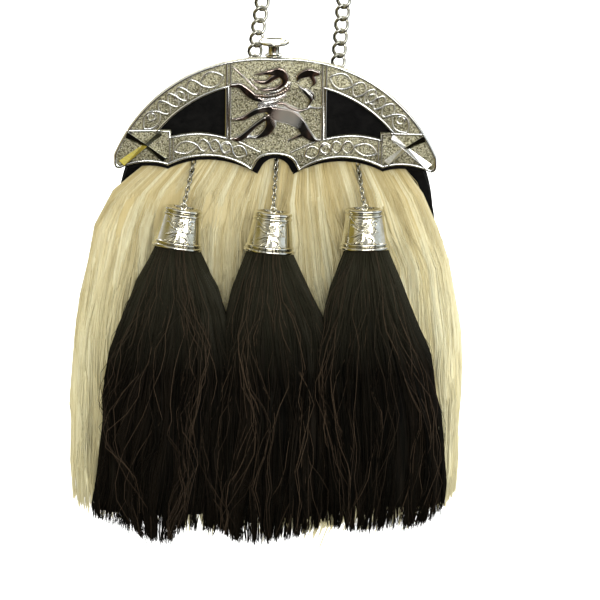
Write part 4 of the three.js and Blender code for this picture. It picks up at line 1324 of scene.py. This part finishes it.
def hairPaths(random, rows, depthRows, kind, zStart, zEnd, clumps, seed):
    # hairs that follow a bundle's outline, drawn together in locks towards their ends
    count, steps, wave = kind["count"], kind["steps"], kind["wave"]
    u = random.uniform(-1, 1, count)
    face = np.where(random.uniform(size=count) < kind["front"], -1.0, 1.0)
    v = face * random.uniform(*kind["reach"], count)
    scatter = np.random.default_rng(seed).normal(0, 0.5 / clumps, clumps)
    lockCentres = np.linspace(-1, 1, clumps) + scatter
    lock = np.clip(((u + 1) / 2 * clumps + random.normal(0, 0.35, count)).astype(int), 0, clumps - 1)
    t = np.linspace(0, 1, steps)[None, :]
    root, end = zStart(u)[:, None], zEnd(u)[:, None]
    z = root + (end - root) * t
    fall = np.clip((rows["z"][0] - z) / (rows["z"][0] - rows["z"][-1]), 0, 1)
    pull = kind["pull"] * np.clip(fall - 0.08, 0, 1) ** 0.8
    place = u[:, None] + (lockCentres[lock] - u)[:, None] * pull
    inner = 1 - 0.85 * np.abs(place) ** 5
    drift = softWave(place * 5, z * 0.045, seed) * wave * np.clip(fall * 2, 0, 1)
    crimp = softWave(u[:, None] * 60, z * 0.16, seed + 1) * kind["crimp"]
    lockDrift = softWave(lock[:, None] * 2.1, z * 0.07, seed + 2) * wave * 0.7 * np.clip(fall * 2, 0, 1)
    x, y = sectionPoint(rows, depthRows, np.clip(place, -1, 1), v[:, None], z)
    x = x + (drift + lockDrift) * inner + crimp * np.clip(t * 5, 0, 1)
    y = y + softWave(lock[:, None] * 1.7, z * 0.06, seed + 3) * wave * 0.5 * np.clip(fall * 2, 0, 1)
    y = y + softWave(u[:, None] * 47, z * 0.13, seed + 4) * kind["crimp"] * 0.7
    return np.stack([x, y, z], axis=2), u, lock, np.broadcast_to(fall, (count, steps))


def taper(kind, random):
    t = np.linspace(0, 1, kind["steps"])[None, :]
    base = random.uniform(0.75, 1.3, (kind["count"], 1)) * kind["width"]
    return base * (1 - (1 - kind["tip"]) * t ** 3) * (0.7 + 0.3 * np.clip(t * 8, 0, 1))


def rootHeight(u):
    # the pale hair starts behind the leather's lower edge
    edge = lowerEdge(cantleSizes["backingDrop"])
    edge = edge[np.argsort(edge[:, 0])]
    x = np.abs(u) * 60
    return np.interp(x, edge[:, 0], edge[:, 1]) + 4.0


def endsBy(random, places, heights, spread):
    def ends(u):
        return np.interp(u, places, heights) + random.normal(0, spread, len(u))
    return ends


def partAroundChains(paths):
    # the hair parts into a narrow gap below each tassel chain's root
    for row in tassels.values():
        x0, z0 = row["start"]
        x1, z1 = row["top"]
        share = np.clip((z0 + 4 - paths[..., 2]) / (z0 + 4 - z1), 0, 1)
        away = paths[..., 0] - (x0 + (x1 - x0) * share)
        gapWidth = 1.7 * share * (1 - share) * 4 * (paths[..., 2] > z1 - 2)
        paths[..., 0] += np.sign(away) * gapWidth * np.exp(-(away / 3.2) ** 2)
    return paths


def hairKinds(columns, rows):
    return {name: dict(zip(columns, row)) for name, row in rows.items()}


# front is the share of the hairs that lie in front, reach how far out they lie, tip the end's width.
hairColumns = ["count", "steps", "sides", "flatness", "width", "front", "reach", "wave", "crimp",
               "pull", "tip"]
paleKinds = hairKinds(hairColumns, {
    "paleStrands": [2200, 11, 3, 1.0, 0.55, 1.0, (0.9, 1.08), 2.0, 0.45, 0.32, 0.4],
    "paleLocks": [900, 11, 4, 0.4, 1.9, 1.0, (0.82, 0.98), 2.0, 0.3, 0.65, 0.3],
    "paleBackHairs": [560, 8, 4, 0.4, 1.6, 0.0, (0.86, 1.02), 2.0, 0.3, 0.5, 0.3],
    "paleStrays": [90, 16, 3, 1.0, 0.34, 1.0, (1.02, 1.16), 4.5, 1.1, 0.1, 0.4],
})


def makePaleHair():
    random = np.random.default_rng(11)
    clumps = hairClumps["pale"]
    lockTone = random.uniform(0, 1, clumps)
    for name, kind in paleKinds.items():
        zStart = rootHeight if kind["front"] else (lambda u: np.full(len(u), -150.0))
        spread = 1.6 if kind["sides"] == 3 else 3.5
        zEnd = endsBy(random, paleEnds["u"], paleEnds["z"], spread)
        paths, u, lock, along = hairPaths(random, paleRows, paleRows, kind, zStart, zEnd, clumps, 40)
        paths = partAroundChains(paths)
        tone = np.clip(0.6 * lockTone[lock] + random.uniform(0, 0.5, kind["count"]), 0, 1)
        widths = taper(kind, random)
        keepPiece(strandMesh(name, paths, widths, kind, tone, along, paleHair), "pale_hair")


def makeHairCore(name, rows, depthRows, zTop, zEnd, seed, sides, levels, scale, grooves, toneScale,
                 material, slotName, node):
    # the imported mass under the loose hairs, with grooves between its locks
    z = np.linspace(zTop, zEnd, levels)
    angle = np.linspace(0, 2 * np.pi, sides, endpoint=False)
    rings = []
    for level, height in enumerate(z):
        c, s = np.cos(angle), np.sin(angle)
        u = np.sign(c) * np.abs(c) ** 0.8 * scale
        left, right = readRows(rows, "left", height), readRows(rows, "right", height)
        front, back = readRows(depthRows, "front", height), readRows(depthRows, "back", height)
        coarse = softWave(angle * 22, height * 0.03, seed)
        fine = softWave(angle * 47, height * 0.05, seed + 1) * 0.5
        groove = grooves * (coarse + fine) * min(1, level / (levels - 1) * 6)
        x = (left + right) / 2 + u * (right - left) / 2
        y = (front + back) / 2 + np.sign(s) * np.abs(s) ** 0.8 * (back - front) / 2 * (scale - 0.06)
        ring = [x + c * groove * 0.5, y + s * groove * 0.6, np.full(sides, height)]
        rings.append(np.stack(ring, axis=1))
    mesh = ringMesh(name, rings)
    share = np.repeat(np.linspace(0, 1, levels), sides)
    # the low tones paint the mass darker than the hairs over it: painted shade under the loose hairs
    tone = (0.25 + 0.2 * softWave(np.tile(angle, levels) * 20, share * 3, seed + 2)) * toneScale
    caps = np.ones(len(mesh.vertices) - len(share))
    storeValues(mesh, "tone", np.concatenate([tone, caps]))
    storeValues(mesh, "along", np.concatenate([share, caps]))
    return keepPiece(makeObject(name, mesh, material), slotName, node)


tasselKinds = hairKinds([*hairColumns, "endLift", "shine"], {
    "Strands": [1150, 10, 3, 1.0, 0.42, 0.74, (0.9, 1.06), 1.9, 0.55, 0.25, 0.4, 0.0, 0.24],
    "Locks": [190, 12, 4, 0.45, 1.8, 0.8, (0.84, 0.98), 1.9, 0.4, 0.7, 0.3, 12.0, 0.14],
    "Ends": [1750, 5, 3, 1.0, 0.36, 0.72, (0.45, 1.05), 1.9, 0.6, 0.04, 0.7, 0.0, 0.18],
    "Strays": [60, 18, 3, 1.0, 0.3, 1.0, (1.04, 1.12), 4.4, 1.5, 0.1, 0.6, 2.0, 2.2],
})


def makeTasselHair(side, seed):
    random = np.random.default_rng(seed)
    rows = tasselRows[side]
    top = float(rows["z"][0])
    bottom = np.mean(rows["endZ"]) + 8
    makeHairCore(f"tasselCore{side.title()}", rows, tasselDepth, top, bottom, seed, 84, 44,
                 0.93, 0.9, 0.2, blackHair, "black_hair", f"tassel_hair_{side}")
    clumps = hairClumps["tassel"]
    lockTone = random.uniform(0, 1, clumps) ** 2
    for name, kind in tasselKinds.items():
        zEnd = endsBy(random, rows["endU"], np.array(rows["endZ"]) + kind["endLift"], 1.3)
        shortest, longest = (9, 42) if name == "Ends" else (500, 501)

        def zStart(u):
            lift = random.uniform(shortest, longest, len(u))
            return np.minimum(np.interp(u, rows["endU"], rows["endZ"]) + lift, top)

        paths, u, lock, along = hairPaths(random, rows, tasselDepth, kind, zStart, zEnd, clumps, seed)
        loose = random.uniform(0, 1, kind["count"]) ** 3 * 0.7
        tone = np.clip((0.4 * lockTone[lock] + loose) * kind["shine"], 0, 1)
        widths = taper(kind, random)
        label = f"tassel{name}{side.title()}"
        keepPiece(strandMesh(label, paths, widths, kind, tone, along, blackHair), "black_hair")


def makePartingShadeSheets():
    # a dark sheet in the parting that each tassel chain hangs out of: painted shade, in the black
    # leather
    for side, row in tassels.items():
        x, z = row["start"]
        shape = [(0.3, 2.2, -0.1), (1.5, 1.0, -0.9), (2.4, -2.0, -1.7), (2.2, -5.0, -2.9),
                 (1.0, -8.0, -3.9)]
        lean = (row["top"][0] - x) / (z - row["top"][1])
        rings = []
        for width, drop, y in shape:
            middle = x - drop * lean
            rings.append([(middle - width / 2, y, z + drop), (middle, y - 0.35, z + drop),
                          (middle + width / 2, y, z + drop), (middle, y + 0.5, z + drop)])
        piece = makeObject(f"partingShade{side.title()}", ringMesh("parting", rings), blackLeather)
        keepPiece(piece, "black_leather")


makeHairCore("paleCore", paleRows, paleRows, -50, -228, 7, 200, 60, 0.95, 1.1, 1.0,
             paleHair, "pale_hair", "hair_main")
makePaleHair()
makePartingShadeSheets()
print("pale hair made")
for side, seed in (("left", 21), ("middle", 22), ("right", 23)):
    makeTasselHair(side, seed)
print("tassels made")


# ---------- floor, lights and camera ----------

stageSizes = {"floorDrop": 0.16, "floorSize": 8.0, "elevation": 17.0, "distance": 2.2, "lens": 262.4,
              "roll": 0.75, "target": (13.15, 0.0, -126.1)}


def makeFloor():
    mesh = bpy.data.meshes.new("floor")
    half = stageSizes["floorSize"] / 2
    z = cadLow.z - stageSizes["floorDrop"]
    corners = [(-half, -half, z), (half, -half, z), (half, half, z), (-half, half, z)]
    mesh.from_pydata(corners, [], [(0, 1, 2, 3)])
    material, _, shader = newMaterial("paleFloor", (0.93, 0.93, 0.93), 0.0, 0.9)
    shader.inputs["Emission Color"].default_value = (1, 1, 1, 1)
    shader.inputs["Emission Strength"].default_value = 0.35
    floor = makeObject("floor", mesh, material, False)
    floor.visible_glossy = False


def addLight(name, location, aim, size, power, colour=(1, 1, 1)):
    light = bpy.data.lights.new(name, "AREA")
    light.shape = "RECTANGLE"
    light.size, light.size_y = size
    light.energy = power
    light.color = colour
    lamp = addObject(name, light)
    lamp.location = location
    lamp.rotation_euler = (Vector(aim) - Vector(location)).to_track_quat("-Z", "Y").to_euler()


worldTones = {
    "ramp": [(0.25, (0.03, 0.027, 0.02)), (0.42, (0.10, 0.095, 0.075)), (0.5, (0.55, 0.56, 0.54)),
             (0.64, (0.95, 0.96, 0.96)), (0.80, (0.55, 0.56, 0.55)), (1.0, (0.35, 0.35, 0.33))],
    # direction, how near the direction it starts and is full, colour
    "patches": [
        ((-0.95, -0.30, 0.06), 0.66, 0.90, (0.36, 0.29, 0.07)),
        ((0.95, -0.20, 0.12), 0.84, 0.95, (0.90, 1.0, 1.12)),
        ((-0.25, -0.95, -0.28), 0.86, 0.97, (0.02, 0.018, 0.014)),
        ((0.40, -0.88, -0.36), 0.93, 0.985, (0.22, 0.13, 0.10)),
    ],
    "strength": 0.84, "seen": (1.1, 1.1, 1.09),
}


def makeWorld():
    # a pale room, brighter overhead and dark low in front, for the polish to mirror
    world = bpy.data.worlds.new("studio")
    bpy.context.scene.world = world
    world.use_nodes = True
    tree = world.node_tree
    direction = addNode(tree, "ShaderNodeTexCoord").outputs["Generated"]
    upward = addNode(tree, "ShaderNodeSeparateXYZ", {0: direction}).outputs["Z"]
    ramp = addNode(tree, "ShaderNodeValToRGB", {0: rangeMap(tree, upward, -1.0, 1.0)})
    stops = ramp.color_ramp.elements
    for i, (position, colour) in enumerate(worldTones["ramp"]):
        stop = stops[i] if i < 2 else stops.new(position)
        stop.position, stop.color = position, (*colour, 1)
    colour = ramp.outputs[0]
    for aim, start, full, tint in worldTones["patches"]:
        aim = Vector(aim).normalized()
        dot = addNode(tree, "ShaderNodeVectorMath", {0: direction, 1: aim}, operation="DOT_PRODUCT")
        colour = mixColour(tree, rangeMap(tree, dot.outputs["Value"], start, full), colour, tint)
    seen = addNode(tree, "ShaderNodeLightPath").outputs["Is Camera Ray"]
    background = tree.nodes["Background"]
    link(tree, mixColour(tree, seen, colour, worldTones["seen"]), background.inputs["Color"])
    background.inputs["Strength"].default_value = worldTones["strength"]


def makeCamera():
    data = bpy.data.cameras.new("camera")
    data.lens = stageSizes["lens"]
    data.sensor_width = 36
    data.clip_end = 50
    camera = addObject("camera", data)
    target = Vector(placed(stageSizes["target"]))
    lift = math.radians(stageSizes["elevation"])
    back = Vector((0, -math.cos(lift), math.sin(lift)))
    camera.location = target + back * stageSizes["distance"]
    roll = Matrix.Rotation(math.radians(stageSizes["roll"]), 3, "Z")
    camera.rotation_euler = ((-back).to_track_quat("-Z", "Y").to_matrix() @ roll).to_euler()
    bpy.context.scene.camera = camera


makeFloor()
makeWorld()
makeCamera()
aim = placed([0, 0, -120])
addLight("keyLight", aim + [0.9, -1.3, 0.9], aim, (0.8, 0.8), 11)
addLight("fillLight", aim + [-1.2, -1.0, 0.5], aim, (0.7, 1.2), 0.9)
addLight("frontLight", aim + [0.15, -1.9, 0.75], aim, (0.9, 0.5), 15)
addLight("backLight", aim + [0.2, 1.4, 0.9], aim, (1.2, 0.8), 6)
addLight("floorLight", aim + [0, 1.3, 1.3], aim + [0, 1.3, -1], (2.6, 1.4), 45)
bpy.context.scene.view_settings.view_transform = "Standard"
print("stage made")

added = [piece for piece in bpy.context.scene.objects if piece.type == "MESH" and not piece.hide_render]
print("triangles shown", sum(len(face.vertices) - 2 for piece in added for face in piece.data.polygons))
